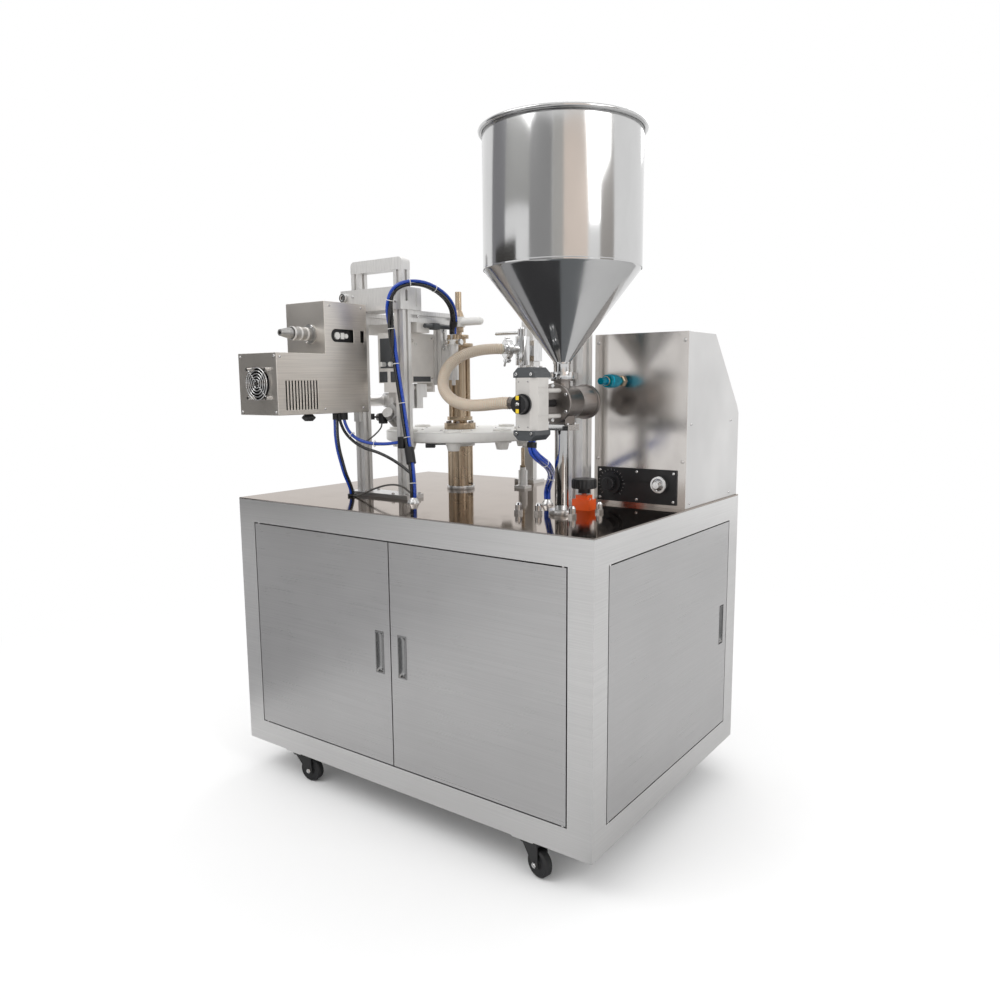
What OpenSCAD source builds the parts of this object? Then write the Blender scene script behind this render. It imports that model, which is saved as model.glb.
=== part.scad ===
// Semi-automatic tube filling machine: a cabinet on casters carries an indexing disc with tube cups,
// a hopper with a dosing valve, a lifting nozzle, a hot air head and a pair of sealing jaws.
// Millimetres, +Z up. Inside the modules X and Y are counted from the middle of the cabinet.

/* [Cabinet] */
// Width of the cabinet along the front
cab_w = 1100; // [1080:1:1140]
// Depth of the cabinet from front to back
cab_d = 780; // [770:1:820]
// Height of the cabinet without its casters
cab_h = 680; // [670:1:720]
// Side of the square tube of the cabinet frame
tube_w = 60; // [50:1:60]
// Thickness of the polished table plate
table_t = 3; // [2:0.5:4]
// Depth of the folded door pans
door_t = 20; // [18:1:24]
// Gap around the doors
door_gap = 3; // [2.5:0.1:4]
// Thickness of the folded sheet
sheet = 2; // [1.5:0.1:2.5]

/* [Casters] */
// Height from the floor to the frame
caster_h = 85; // [82:1:95]
// Diameter of a caster wheel
wheel_d = 63; // [56:1:64]
// Width of a caster wheel
wheel_w = 24; // [20:1:24]
// Distance from the swivel axis to the wheel axle
caster_trail = 36; // [32:1:38]

/* [Index disc] */
// Radius of the indexing disc
disc_r = 210; // [206:1:212]
// Thickness of the indexing disc
disc_t = 28; // [24:1:30]
// Radius of the circle on which the tube cups stand
pitch_r = 180; // [174:1:182]
// Number of tube cups
station_count = 8; // [8:4:12]
// Angle of the filling station
fill_angle = 33; // [30:1:36]
// Bore of a tube cup
cup_bore = 30; // [24:1:32]

/* [Sealing frame] */
// Side of the slotted frame profile
profile_w = 30; // [28:1:32]
// Opening between the sealing jaws
jaw_gap = 10; // [8:1:12]

/* [Hot air head] */
// Width of the hot air head
heater_w = 142; // [130:1:146]
// Length of its lower box from front to back
heater_len = 298; // [280:1:300]
// Length of its upper box from front to back
heater_top_len = 145; // [130:1:150]

/* [Filler] */
// Outer diameter of the hopper
hopper_d = 352; // [320:2:360]
// Height of the round part of the hopper
hopper_cyl_h = 290; // [260:5:320]
// Height of the hopper cone
hopper_cone_h = 204; // [190:2:220]
// Outer diameter of the valve and dosing cylinder
dose_d = 74; // [70:1:76]

/* [Control housing] */
// Width of the control housing
housing_w = 245; // [240:1:248]
// Height of the control housing above the table
housing_h = 416; // [400:2:430]
// Depth of the control housing
housing_d = 335; // [320:1:338]

/* [Hidden] */
$fn = 48;
steel = "silver";
polished = "gainsboro";
brass = "darkkhaki";
nylon = "whitesmoke";
black = "#202020";

// Running clearance of pins and shafts, and the free gap between bodies
run = 0.05;
free = 0.5;

// Cabinet levels and faces
table_z = caster_h + cab_h;
front_y = -cab_d / 2;
right_x = cab_w / 2;
frame_top = table_z - table_t;
door_z0 = caster_h + tube_w + door_gap;
door_h = frame_top - caster_h - 2 * tube_w - 2 * door_gap;
door_w = (cab_w - 2 * tube_w - 3 * door_gap) / 2;
side_door_w = cab_d - 2 * tube_w - 2 * door_gap;
pivot_in = 10;
pivot_back = 6;
pivot_r = 4;
pivot_len = 12;
pull_w = 22;
pull_h = 100;
pull_depth = 12;
pull_in = 35;
pull_z = table_z - 338;
panel_t = 10;

// Casters: swivel places and the way each wheel trails
caster_xy = [[-375, front_y + tube_w / 2], [375, front_y + tube_w / 2],
    [-375, -front_y - tube_w / 2], [375, -front_y - tube_w / 2]];
caster_turn = [10, -15, 10, -10];
caster_plate_t = 4;
axle_r = 4;
king_r = 6;

// Index disc, cups and column
disc_xy = [-164, 89];
disc_z = table_z + 144;
disc_top = disc_z + disc_t;
hub_r = 42;
hub_h = 20;
sleeve_r = 34;
post_r = 20;
drive_top = table_z - 50;
cup_r = 20;
cup_rim_r = 24;
cup_rim_h = 6;
cup_drop = 22;
cup_floor = 6;
lift_r = 5;
clamp_ring_r = 45;
clamp_ring_h = 17;
crown_z = table_z + 400;
shaft_top = table_z + 555;
function station(k) = let (a = fill_angle - k * 360 / station_count)
    [disc_xy[0] + pitch_r * cos(a), disc_xy[1] + pitch_r * sin(a)];
fill_xy = station(0);
seal_xy = disc_xy + pitch_r * [cos(fill_angle - 135), sin(fill_angle - 135)];
heat_xy = disc_xy + pitch_r * [cos(fill_angle - 180), sin(fill_angle - 180)];

// Sealing frame
post_y = -150;
post_x = [-311, -158];
foot_t = 10;
post_top = table_z + 490;
channel_h = 58;
portal_top = table_z + 621;
beam_z = table_z + 460;
beam_back = 52;
half = profile_w / 2;
jaw_box_lo = [-250, seal_xy[1] - 61, table_z + 303];
jaw_box_hi = [post_x[1] - half, seal_xy[1] + 80, table_z + 434];
jaw_rail_r = 5;
jaw_rail_z = table_z + 290;
jaw_rail_dx = 18;
trim_xy = [-114, 2];

// Hot air head
heater_x = -317;
heater_back = -193;
heater_front = heater_back - heater_len;
heater_top_front = heater_back - heater_top_len;
heater_z0 = table_z + 228;
heater_step = 148;
heater_high = 277;
fan_r = 38;
guard_t = 9;
gun_z = table_z + 426;
gun_x = -300;
rail_w = 20;
duct_x = -345;
duct_z = table_z + 255;
duct_r = 16;
ring_r = 40;
ring_bore = 24;
ring_h = 40;
overhang = front_y - heater_front + guard_t;

// Filler
filler_xy = [330, -155];
valve_z = table_z + 255;
valve_front = -181;
dose_joint = -115;
dose_back = -57;
dose_r = dose_d / 2;
core_r = 22;
stem_r = 8;
piston_r = 30;
rod_r = 7;
outlet_x = 185;
outlet_r = 14;
neck_r = 19;
neck_z = valve_z + 53;
cone_z = table_z + 346;
cyl_z = cone_z + hopper_cone_h;
rim_z = cyl_z + hopper_cyl_h;
rim_r = 5;
actuator_lo = [filler_xy[0] - 30, -310, valve_z - 56];
actuator_hi = [filler_xy[0] + 30, -244, valve_z + 56];
actuator_edge = 14;
cap_h = 22;
rear_xy = [278.5, 10.5];
rear_w = 45;
rear_top = table_z + 431;
nozzle_post = [-80, 320];
nozzle_post_top = table_z + 500;
nozzle_z = table_z + 395;
nozzle_tip = table_z + 210;
inlet_turn = 240;
inlet_len = 62;
inlet_end = fill_xy + (inlet_len + free) * [cos(inlet_turn), sin(inlet_turn)];

// Control housing and what is on its front
housing_x = 300;
housing_y = 52;
strip_lo = [311, 46, table_z + 8];
strip_hi = [524, 50, table_z + 92];
dial_xz = [350, table_z + 52];
regulator_xz = [486, table_z + 58];
coupler_xz = [373, table_z + 303];
stroke_xy = [343, -75];
stud_xy = [[243, -205], [288, -190], [378, -187], [394, -92]];

// Hose routes, ends included, with heights above the table
inlet_way = [cos(inlet_turn), sin(inlet_turn)];
inlet_near = inlet_end + 25 * inlet_way;
product_route = [[outlet_x, -155, 253], [165, -155, 253], [130, -154, 250], [90, -151, 247], [48, -146, 247],
    [5, -138, 255], [-33, -124, 271], [-62, -105, 293], [-79, -80, 323], [-86, -44, 352], [-82, 4, 376],
    [-71, 62, 390], [inlet_near[0], inlet_near[1], 395], [inlet_end[0], inlet_end[1], 395]];
product_od = 32;
loop_route = [[-75, -215, 14.4], [-75, -215, 40], [-82, -210, 80], [-95, -202, 120], [-108, -196, 158],
    [-119, -192, 200], [-130, -189, 250], [-140, -188, 300], [-148, -188, 345], [-155, -188, 390],
    [-160, -189, 430], [-162, -192, 465], [-160, -196, 497], [-151, -197, 524], [-134, -191, 543],
    [-114, -170, 553], [-101, -132, 553], [-94, -92, 543], [-91, -55, 525], [-93, -26, 500], [-103, -7, 473],
    [trim_xy[0], trim_xy[1], 447], [trim_xy[0], trim_xy[1], 432.6]];
loop_od = 16;
heater_route = [[-290, -240, 227.5], [-290, -240, 205], [-277, -238, 179], [-254, -232, 159], [-222, -221, 148],
    [-185, -208, 146], [-150, -199, 149], [-124, -195, 154]];
heater_od = 12;
filler_route = [[330, -277, 176.4], [330, -277, 156], [329, -257, 140], [322, -224, 127], [309, -183, 113],
    [289, -138, 96], [267, -100, 78], [241, -68, 58], [226, -54, 36], [226, -54, 14.4]];
filler_od = 12;
gland_h = 14;

// Puts the middle of the whole machine over the origin
module place() { translate([0, overhang / 2, 0]) children(); }

// A box from its low corner to its high corner
module block(lo, hi) { translate(lo) cube(hi - lo); }

// Round bars that start at a point
module bar_x(p, r, len) { translate(p) rotate([0, 90, 0]) cylinder(r = r, h = len); }
module bar_y(p, r, len) { translate(p) rotate([-90, 0, 0]) cylinder(r = r, h = len); }
module bar_z(p, r, len) { translate(p) cylinder(r = r, h = len); }

// Section of the slotted profile
module slotted(w) {
    slot = w * 0.27;
    deep = w * 0.2;
    difference() {
        square(w, center = true);
        for (a = [0 : 90 : 270]) rotate(a) translate([w / 2 - deep, -slot / 2]) square([deep + 1, slot]);
        circle(r = w * 0.11);
    }
}

// A hose swept along its route, its rings turned by a direction the hose never takes
function unit(v) = v / norm(v);
function tangent(route, i) = unit(route[min(i + 1, len(route) - 1)] - route[max(i - 1, 0)]);
module swept(route, od, sides, away) {
    rings = len(route);
    corners = [for (i = [0 : rings - 1]) let (t = tangent(route, i), u = unit(cross(t, away)), v = cross(t, u))
        for (k = [0 : sides - 1]) route[i] + od / 2 * (cos(360 * k / sides) * u + sin(360 * k / sides) * v)];
    walls = [for (i = [0 : rings - 2]) for (k = [0 : sides - 1]) let (n = (k + 1) % sides)
        for (face = [[i * sides + k, (i + 1) * sides + k, (i + 1) * sides + n],
            [i * sides + k, (i + 1) * sides + n, i * sides + n]]) face];
    ends = [[for (k = [0 : sides - 1]) k], [for (k = [sides - 1 : -1 : 0]) (rings - 1) * sides + k]];
    translate([0, 0, table_z]) polyhedron(corners, concat(walls, ends), convexity = 6);
}

// Cabinet

module cabinet_frame() color(steel) {
    zs = [caster_h, frame_top - tube_w];
    for (x = [-right_x, right_x - tube_w]) for (y = [front_y, -front_y - tube_w])
        translate([x, y, caster_h]) cube([tube_w, tube_w, frame_top - caster_h]);
    for (z = zs) for (y = [front_y, -front_y - tube_w])
        translate([-right_x + tube_w, y, z]) cube([cab_w - 2 * tube_w, tube_w, tube_w]);
    for (z = zs) for (x = [-right_x, right_x - tube_w])
        translate([x, front_y + tube_w, z]) cube([tube_w, cab_d - 2 * tube_w, tube_w]);
    // Door pivots
    for (p = pivot_places()) {
        bar_z([p[0], p[1], caster_h + tube_w - 1], pivot_r, pivot_len + 1);
        bar_z([p[0], p[1], frame_top - tube_w - pivot_len], pivot_r, pivot_len + 1);
    }
    // Caster plates
    for (c = caster_xy) difference() {
        translate([c[0] - 28, c[1] - 28, caster_h - caster_plate_t]) cube([56, 56, caster_plate_t]);
        bar_z([c[0], c[1], caster_h - caster_plate_t - 1], king_r + run, caster_plate_t + 1);
    }
}

function pivot_places() = [[-right_x + tube_w + door_gap + pivot_in, front_y + pivot_back],
    [right_x - tube_w - door_gap - pivot_in, front_y + pivot_back],
    [right_x - pivot_back, front_y + tube_w + door_gap + pivot_in]];

module table_top() color(polished) difference() {
    translate([-right_x, front_y, frame_top]) cube([cab_w, cab_d, table_t]);
    bar_z([disc_xy[0], disc_xy[1], frame_top - 1], sleeve_r + 6, table_t + 2);
}

// Fixed back and left pans, and the floor of the cabinet
module panels() color(steel) {
    inner_w = cab_w - 2 * tube_w;
    inner_d = cab_d - 2 * tube_w;
    panel_z = caster_h + tube_w;
    panel_h = frame_top - caster_h - 2 * tube_w;
    difference() {
        translate([-inner_w / 2, -front_y - panel_t, panel_z]) cube([inner_w, panel_t, panel_h]);
        translate([-inner_w / 2 + sheet, -front_y - panel_t - 1, panel_z + sheet])
            cube([inner_w - 2 * sheet, panel_t - sheet + 1, panel_h - 2 * sheet]);
    }
    difference() {
        translate([-right_x, -inner_d / 2, panel_z]) cube([panel_t, inner_d, panel_h]);
        translate([-right_x + sheet, -inner_d / 2 + sheet, panel_z + sheet])
            cube([panel_t, inner_d - 2 * sheet, panel_h - 2 * sheet]);
    }
    translate([-inner_w / 2, -inner_d / 2, caster_h + tube_w / 2]) cube([inner_w, inner_d, sheet]);
}

// A folded door pan: hinge edge at X 0, front at Y 0, with a flush pull near the far edge
module door_pan(w) {
    h = door_h;
    pull_x = w - pull_in;
    pull_at = pull_z - door_z0;
    difference() {
        union() {
            difference() {
                cube([w, door_t, h]);
                translate([sheet, sheet, sheet]) cube([w - 2 * sheet, door_t, h - 2 * sheet]);
            }
            for (z = [0, h - 18]) translate([0, 0, z]) cube([2 * pivot_in, door_t, 18]);
            translate([pull_x - pull_w / 2 - sheet, sheet, pull_at - pull_h / 2 - sheet])
                cube([pull_w + 2 * sheet, pull_depth, pull_h + 2 * sheet]);
        }
        translate([pull_x - pull_w / 2, -1, pull_at - pull_h / 2]) cube([pull_w, pull_depth + 1, pull_h]);
        for (z = [-1, h - pivot_len]) translate([pivot_in, pivot_back, z])
            cylinder(r = pivot_r + run, h = pivot_len + 1);
    }
}

module door_left() color(steel)
    translate([-right_x + tube_w + door_gap, front_y, door_z0]) door_pan(door_w);

module door_right() color(steel)
    translate([right_x - tube_w - door_gap, front_y, door_z0]) mirror([1, 0, 0]) door_pan(door_w);

module side_door() color(steel)
    translate([right_x, front_y + tube_w + door_gap, door_z0]) rotate(90) door_pan(side_door_w);

// Casters

module at_caster(i) { translate([caster_xy[i][0], caster_xy[i][1], 0]) rotate(caster_turn[i]) children(); }

module caster_fork(i) color(black) at_caster(i) {
    crown_top = caster_h - caster_plate_t - free;
    cheek_in = wheel_w / 2 + 0.6;
    bar_z([0, 0, crown_top - 1], king_r, caster_plate_t + 1);
    translate([caster_trail / 2, 0, crown_top - 8]) linear_extrude(8) union() {
        translate([-caster_trail / 2, 0]) circle(r = 22);
        translate([-caster_trail / 2, -cheek_in - 3]) square([caster_trail + 6, 2 * cheek_in + 6]);
    }
    for (s = [-1, 1]) translate([0, s * (cheek_in + 1.5) + 1.5, 0]) rotate([90, 0, 0]) linear_extrude(3) {
        translate([caster_trail, wheel_d / 2]) circle(r = 10);
        polygon([[-14, crown_top - 1], [caster_trail + 6, crown_top - 1], [caster_trail + 10, wheel_d / 2],
            [caster_trail - 10, wheel_d / 2]]);
    }
    bar_y([caster_trail, -cheek_in - 5, wheel_d / 2], axle_r, 2 * cheek_in + 10);
}

module caster_wheel(i) color(black) at_caster(i) translate([caster_trail, 0, wheel_d / 2]) rotate([90, 0, 0])
    rotate_extrude() polygon([[axle_r + run, -wheel_w / 2], [12, -wheel_w / 2], [13, -wheel_w / 2 + 3],
        [wheel_d / 2 - 6, -wheel_w / 2 + 3], [wheel_d / 2 - 4, -wheel_w / 2 + 1], [wheel_d / 2, -wheel_w / 2 + 5],
        [wheel_d / 2, wheel_w / 2 - 5], [wheel_d / 2 - 4, wheel_w / 2 - 1], [wheel_d / 2 - 6, wheel_w / 2 - 3],
        [13, wheel_w / 2 - 3], [12, wheel_w / 2], [axle_r + run, wheel_w / 2]]);

// Index drive, disc and column

module index_drive() color("slategray") translate([disc_xy[0], disc_xy[1], 0]) {
    translate([-90, -75, drive_top - 140]) cube([180, 150, 140]);
    for (x = [-70, 70]) for (y = [-55, 55]) bar_z([x, y, drive_top], 9, frame_top - drive_top);
    bar_x([90, 0, drive_top - 70], 45, 18);
    bar_x([108, 0, drive_top - 70], 58, 190);
}

// Feet of everything that stands on the table, and the hose glands
module base_flanges() color(steel) {
    block([post_x[0] - 32, post_y - 32, table_z], [post_x[1] + 32, post_y + 32, table_z + foot_t]);
    difference() {
        bar_z([disc_xy[0], disc_xy[1], table_z], 40, foot_t);
        bar_z([disc_xy[0], disc_xy[1], table_z - 1], sleeve_r + free, foot_t + 2);
    }
    bar_z([filler_xy[0], filler_xy[1], table_z], 30, foot_t);
    block([rear_xy[0] - 38, rear_xy[1] - 40, table_z], [rear_xy[0] + 20, rear_xy[1] + 36, table_z + foot_t]);
    block([nozzle_post[0] - 35, nozzle_post[1] - 30, table_z],
        [nozzle_post[0] + 35, nozzle_post[1] + 30, table_z + foot_t]);
    for (p = [loop_route[0], filler_route[len(filler_route) - 1]])
        translate([p[0], p[1], table_z]) cylinder(r1 = 16, r2 = 9, h = gland_h);
}

module hub_sleeve() color(brass) translate([disc_xy[0], disc_xy[1], 0]) difference() {
    union() {
        bar_z([0, 0, drive_top + 2], sleeve_r, disc_top - drive_top - 2);
        bar_z([0, 0, drive_top + 2], sleeve_r + 12, 10);
        bar_z([0, 0, disc_top], clamp_ring_r, clamp_ring_h);
        for (a = [0 : 60 : 300]) rotate(a) bar_z([37, 0, disc_top + clamp_ring_h], 4, 5);
    }
    bar_z([0, 0, drive_top], post_r + run, disc_top + clamp_ring_h - drive_top + 1);
}

module index_disc() color(nylon) difference() {
    translate([disc_xy[0], disc_xy[1], 0]) difference() {
        union() {
            bar_z([0, 0, disc_z], disc_r - 2, disc_t);
            bar_z([0, 0, disc_z + 2], disc_r, disc_t - 4);
            bar_z([0, 0, disc_z - hub_h], hub_r, hub_h);
        }
        bar_z([0, 0, disc_z - hub_h - 1], sleeve_r, disc_t + hub_h + 2);
    }
    for (k = [0 : station_count - 1]) translate([station(k)[0], station(k)[1], disc_z - 1])
        cylinder(r = cup_r, h = disc_t + 2);
}

module tube_cups() color(nylon) for (k = [0 : station_count - 1])
    translate([station(k)[0], station(k)[1], disc_z - cup_drop]) rotate_extrude() polygon([
        [lift_r + 3, 0], [cup_r - 5, 0], [cup_r, cup_drop - 4], [cup_r, cup_drop + disc_t],
        [cup_rim_r, cup_drop + disc_t], [cup_rim_r, cup_drop + disc_t + cup_rim_h],
        [cup_bore / 2, cup_drop + disc_t + cup_rim_h], [cup_bore / 2, cup_drop], [lift_r + 6, cup_floor],
        [lift_r + 3, cup_floor]]);

// Fixed post inside the sleeve, the ring of guide rods on it and the slim top shaft
module upper_column() color(brass) translate([disc_xy[0], disc_xy[1], 0]) {
    collar_z = disc_top + clamp_ring_h + 8;
    bar_z([0, 0, drive_top], post_r, crown_z - drive_top);
    bar_z([0, 0, collar_z], 36, 10);
    for (a = [45 : 90 : 315]) rotate(a) bar_z([24, 0, collar_z + 9], 7, crown_z - collar_z - 8);
    bar_z([0, 0, crown_z], 40, 12);
    bar_z([0, 0, crown_z + 11], 20, 16);
    bar_z([0, 0, crown_z + 26], 28, 10);
    bar_z([0, 0, crown_z + 35], 9, shaft_top - crown_z - 35);
    bar_z([0, 0, table_z + 444], 14, 14);
    translate([0, 0, table_z + 486]) cylinder(r1 = 16, r2 = 10, h = 18);
}

module top_arm() color(nylon) {
    arm = [disc_xy[0], disc_xy[1], table_z + 472];
    difference() {
        union() {
            translate(arm - [0, 0, 14]) cylinder(r = 18, h = 28);
            bar_x(arm, 11, 75);
            translate(arm + [75, 0, 0]) sphere(r = 11);
        }
        translate(arm - [0, 0, 20]) cylinder(r = 9, h = 40);
    }
}

// Outline of the top bar with two round upper corners
module portal_outline(r) {
    wide = post_x[1] - post_x[0] + profile_w;
    translate([post_x[0] - half, portal_top - profile_w]) {
        square([wide, profile_w - r]);
        translate([r, 0]) square([wide - 2 * r, profile_w]);
        for (x = [r, wide - r]) translate([x, profile_w - r]) circle(r = r);
    }
}

// Sealing frame of slotted profile, with the rail of the hot air head
module profile_frame() color("lightgray") {
    for (x = post_x) {
        translate([x, post_y, table_z + foot_t]) linear_extrude(post_top - table_z - foot_t) slotted(profile_w);
        translate([x, post_y, post_top + 3]) linear_extrude(portal_top - post_top - 3 - profile_w)
            slotted(profile_w);
        translate([x, post_y + half, beam_z + half]) rotate([-90, 0, 0])
            linear_extrude(beam_back - post_y - half) slotted(profile_w);
    }
    // Top bar with its upper corners rounded
    intersection() {
        translate([post_x[0] - half, post_y, portal_top - half]) rotate([0, 90, 0])
            linear_extrude(post_x[1] - post_x[0] + profile_w) slotted(profile_w);
        translate([0, post_y + half + 1, 0]) rotate([90, 0, 0]) linear_extrude(profile_w + 2) portal_outline(12);
    }
    translate([post_x[1], 0, table_z + 297]) linear_extrude(beam_z - table_z - 297) slotted(profile_w - 4);
    block([post_x[0] - rail_w / 2, post_y - half - 10, table_z + 200],
        [post_x[0] + rail_w / 2, post_y - half, post_top - 4]);
    // Stop under the carriage of the hot air head
    block([post_x[0] - rail_w / 2, post_y - half - 22, table_z + 236],
        [post_x[0] + rail_w / 2, post_y - half - 9, table_z + 249.7]);
}

// Folded channel that ties the two posts under the portal
module head_channel() color("lightgray") {
    lo = [post_x[0] - half - 32, post_y - half - 10, post_top];
    hi = [post_x[1] + half, post_y + 55, post_top + channel_h];
    difference() {
        union() {
            block(lo, [hi[0], hi[1], lo[2] + 3]);
            block(lo, [hi[0], lo[1] + 3, hi[2]]);
            block(lo, [lo[0] + 3, hi[1], hi[2]]);
            block([hi[0], lo[1], lo[2]], [hi[0] + 3, hi[1], hi[2]]);
        }
        block([hi[0] - 1, post_y - 6, lo[2] + 22], [hi[0] + 4, post_y + 2, hi[2] - 8]);
        block([hi[0] - 1, post_y + 34, lo[2] + 10], [hi[0] + 4, post_y + 36, hi[2] - 4]);
    }
}

// Box of the jaw drive, its hanger under the two beams and the rails of the jaws
module jaw_housing() color("silver") {
    lo = jaw_box_lo;
    hi = jaw_box_hi;
    difference() {
        block(lo, hi);
        bar_x([hi[0] - 3, seal_xy[1] - 11, hi[2] - 19], 5, 4);
    }
    block([post_x[0] - half, seal_xy[1] - 25, hi[2]], [post_x[1] + half, seal_xy[1] + 25, beam_z]);
    for (y = [lo[1], hi[1] - 8]) block([seal_xy[0] - 30, y, jaw_rail_z - 12], [seal_xy[0] + 27, y + 8, lo[2]]);
    for (s = [-1, 1]) bar_y([seal_xy[0] + s * jaw_rail_dx, lo[1] + 1, jaw_rail_z], jaw_rail_r, hi[1] - lo[1] - 2);
}

// One sealing jaw with a ribbed face towards the gap
module jaw(s) {
    face = s * jaw_gap / 2;
    difference() {
        translate([seal_xy[0] - 27, seal_xy[1] + (s > 0 ? face : face - 42), table_z + 235]) cube([54, 42, 66]);
        for (d = [-1, 1]) bar_y([seal_xy[0] + d * jaw_rail_dx, seal_xy[1] - 60, jaw_rail_z], jaw_rail_r + run, 120);
        for (z = [242 : 5 : 262]) translate([seal_xy[0] - 30, seal_xy[1] + face - 1, table_z + z])
            cube([60, 2, 2]);
        translate([seal_xy[0] - 30, seal_xy[1] + (s > 0 ? 30 : -60), table_z + 230]) cube([60, 30, 34]);
    }
}

module jaw_front() color("gray") jaw(-1);
module jaw_rear() color("gray") jaw(1);

module trim_cylinder() color("silver") {
    block([post_x[1] + half - 2, trim_xy[1] - 12, table_z + 330], [trim_xy[0], trim_xy[1] + 12, table_z + 390]);
    bar_z([trim_xy[0], trim_xy[1], table_z + 310], 14, 105);
    bar_z([trim_xy[0], trim_xy[1], table_z + 415], 8, 17);
    bar_z([trim_xy[0], trim_xy[1], table_z + 296], 5, 14);
}

// Mark sensor on a clamp rod of the right post
module mark_sensor() color("gray") {
    z = table_z + 212;
    bar_x([-236, post_y, z], 5, post_x[1] - half + 236);
    difference() {
        translate([-204, post_y, z]) rotate([0, 0, 20]) rotate([62, 0, 0])
            translate([0, 0, -30]) cylinder(r = 14, h = 62);
        bar_x([-240, post_y, z], 5, 80);
    }
    bar_x([-254, post_y, z], 10, 18);
}

// Hot air head

module heater_outline(grow) polygon([
    [heater_back - grow, heater_z0 + grow], [heater_back - grow, heater_z0 + heater_high - grow],
    [heater_top_front + grow, heater_z0 + heater_high - grow],
    [heater_top_front + grow, heater_z0 + heater_step - grow],
    [heater_front + grow, heater_z0 + heater_step - grow], [heater_front + grow, heater_z0 + grow]]);

// Stands an outline drawn in Y and Z along X
module across_x(x0, x1) { translate([x0, 0, 0]) rotate([90, 0, 90]) linear_extrude(x1 - x0) children(); }

module heater_housing() color(steel) {
    x0 = heater_x - heater_w / 2;
    x1 = heater_x + heater_w / 2;
    slot_z = gun_z - 4;
    difference() {
        across_x(x0, x1) heater_outline(0);
        across_x(x0 + sheet, x1 - sheet) heater_outline(sheet);
        bar_y([heater_x + 4, heater_front - 1, heater_z0 + 75], fan_r, sheet + 2);
        bar_y([gun_x, heater_top_front - 1, gun_z], 19, sheet + 2);
        // Long window, short window and the row of vents in the right side
        across_x(x1 - sheet - 1, x1 + 1) {
            translate([heater_top_front + 38, slot_z]) circle(r = 16);
            translate([heater_top_front + 38, slot_z - 16]) square([60, 32]);
            translate([heater_back - 22, slot_z - 15]) square([12, 30]);
            for (k = [0 : 10]) translate([heater_front + 25 + 9.5 * k, heater_z0 + 12]) square([4, 70]);
        }
    }
    // Carriage on the rail of the left post
    difference() {
        block([post_x[0] - 14, heater_back, table_z + 250], [post_x[0] + 22, post_y - half - 2, table_z + 420]);
        block([post_x[0] - rail_w / 2 - 0.3, post_y - half - 10.3, table_z + 249],
            [post_x[0] + rail_w / 2 + 0.3, post_y - half, table_z + 421]);
    }
}

fan_at = [heater_x + 4, heater_front, heater_z0 + 75];

// Wire guard over the fan: rings on a cross of two wires with four screw eyes
module fan_guard() color(polished) translate(fan_at) rotate([90, 0, 0]) {
    wire = 1.5;
    for (r = [10 : 7 : 38]) translate([0, 0, guard_t - wire]) rotate_extrude() translate([r, 0]) circle(r = wire, $fn = 16);
    for (a = [45, 135]) rotate(a) translate([-48, 0, guard_t - 2 * wire]) rotate([0, 90, 0])
        cylinder(r = wire, h = 96, $fn = 16);
    for (a = [45 : 90 : 315]) rotate(a) translate([48, 0, 0]) cylinder(r = 4, h = guard_t);
    // Hub where the wires cross, and the stub on which the fan turns
    translate([0, 0, 4]) cylinder(r = 6, h = 4);
    translate([0, 0, -22]) cylinder(r = 3, h = 27);
}

module fan_rotor() color(black) translate(fan_at) rotate([90, 0, 0]) translate([0, 0, -24]) difference() {
    union() {
        cylinder(r = 14, h = 16);
        for (a = [0 : 60 : 300]) rotate(a) translate([12, 0, 8]) rotate([35, 0, 0]) translate([0, -1, -6])
            cube([fan_r - 15, 2, 12]);
    }
    translate([0, 0, -1]) cylinder(r = 3 + run, h = 18);
}

module hot_air_gun() color("gray") translate([gun_x, heater_top_front, gun_z]) rotate([90, 0, 0]) difference() {
    union() {
        cylinder(r = 24, h = 3);
        cylinder(r = 16, h = 56);
        translate([0, 0, 56]) cylinder(r = 13, h = 14);
        translate([0, 0, 70]) cylinder(r1 = 13, r2 = 8, h = 25);
    }
    translate([0, 0, 60]) cylinder(r = 5, h = 40);
}

// Duct from the head to the ring that blows round the tube
module air_duct() color(steel) difference() {
    union() {
        bar_y([duct_x, heater_back, duct_z], duct_r, heat_xy[1] - heater_back);
        bar_y([duct_x, heater_back, duct_z], duct_r + 3, 6);
        translate([heat_xy[0], heat_xy[1], duct_z - ring_h / 2]) cylinder(r = ring_r, h = ring_h);
    }
    translate([heat_xy[0], heat_xy[1], duct_z - ring_h]) cylinder(r = ring_bore, h = 2 * ring_h);
}

// Filler

module filler_column() color(polished) {
    bar_z([filler_xy[0], filler_xy[1], table_z + foot_t], 16, 183);
    block([filler_xy[0] - 30, filler_xy[1] - 22, table_z + 193], [filler_xy[0] + 30, filler_xy[1] + 26, table_z + 206]);
}

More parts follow.
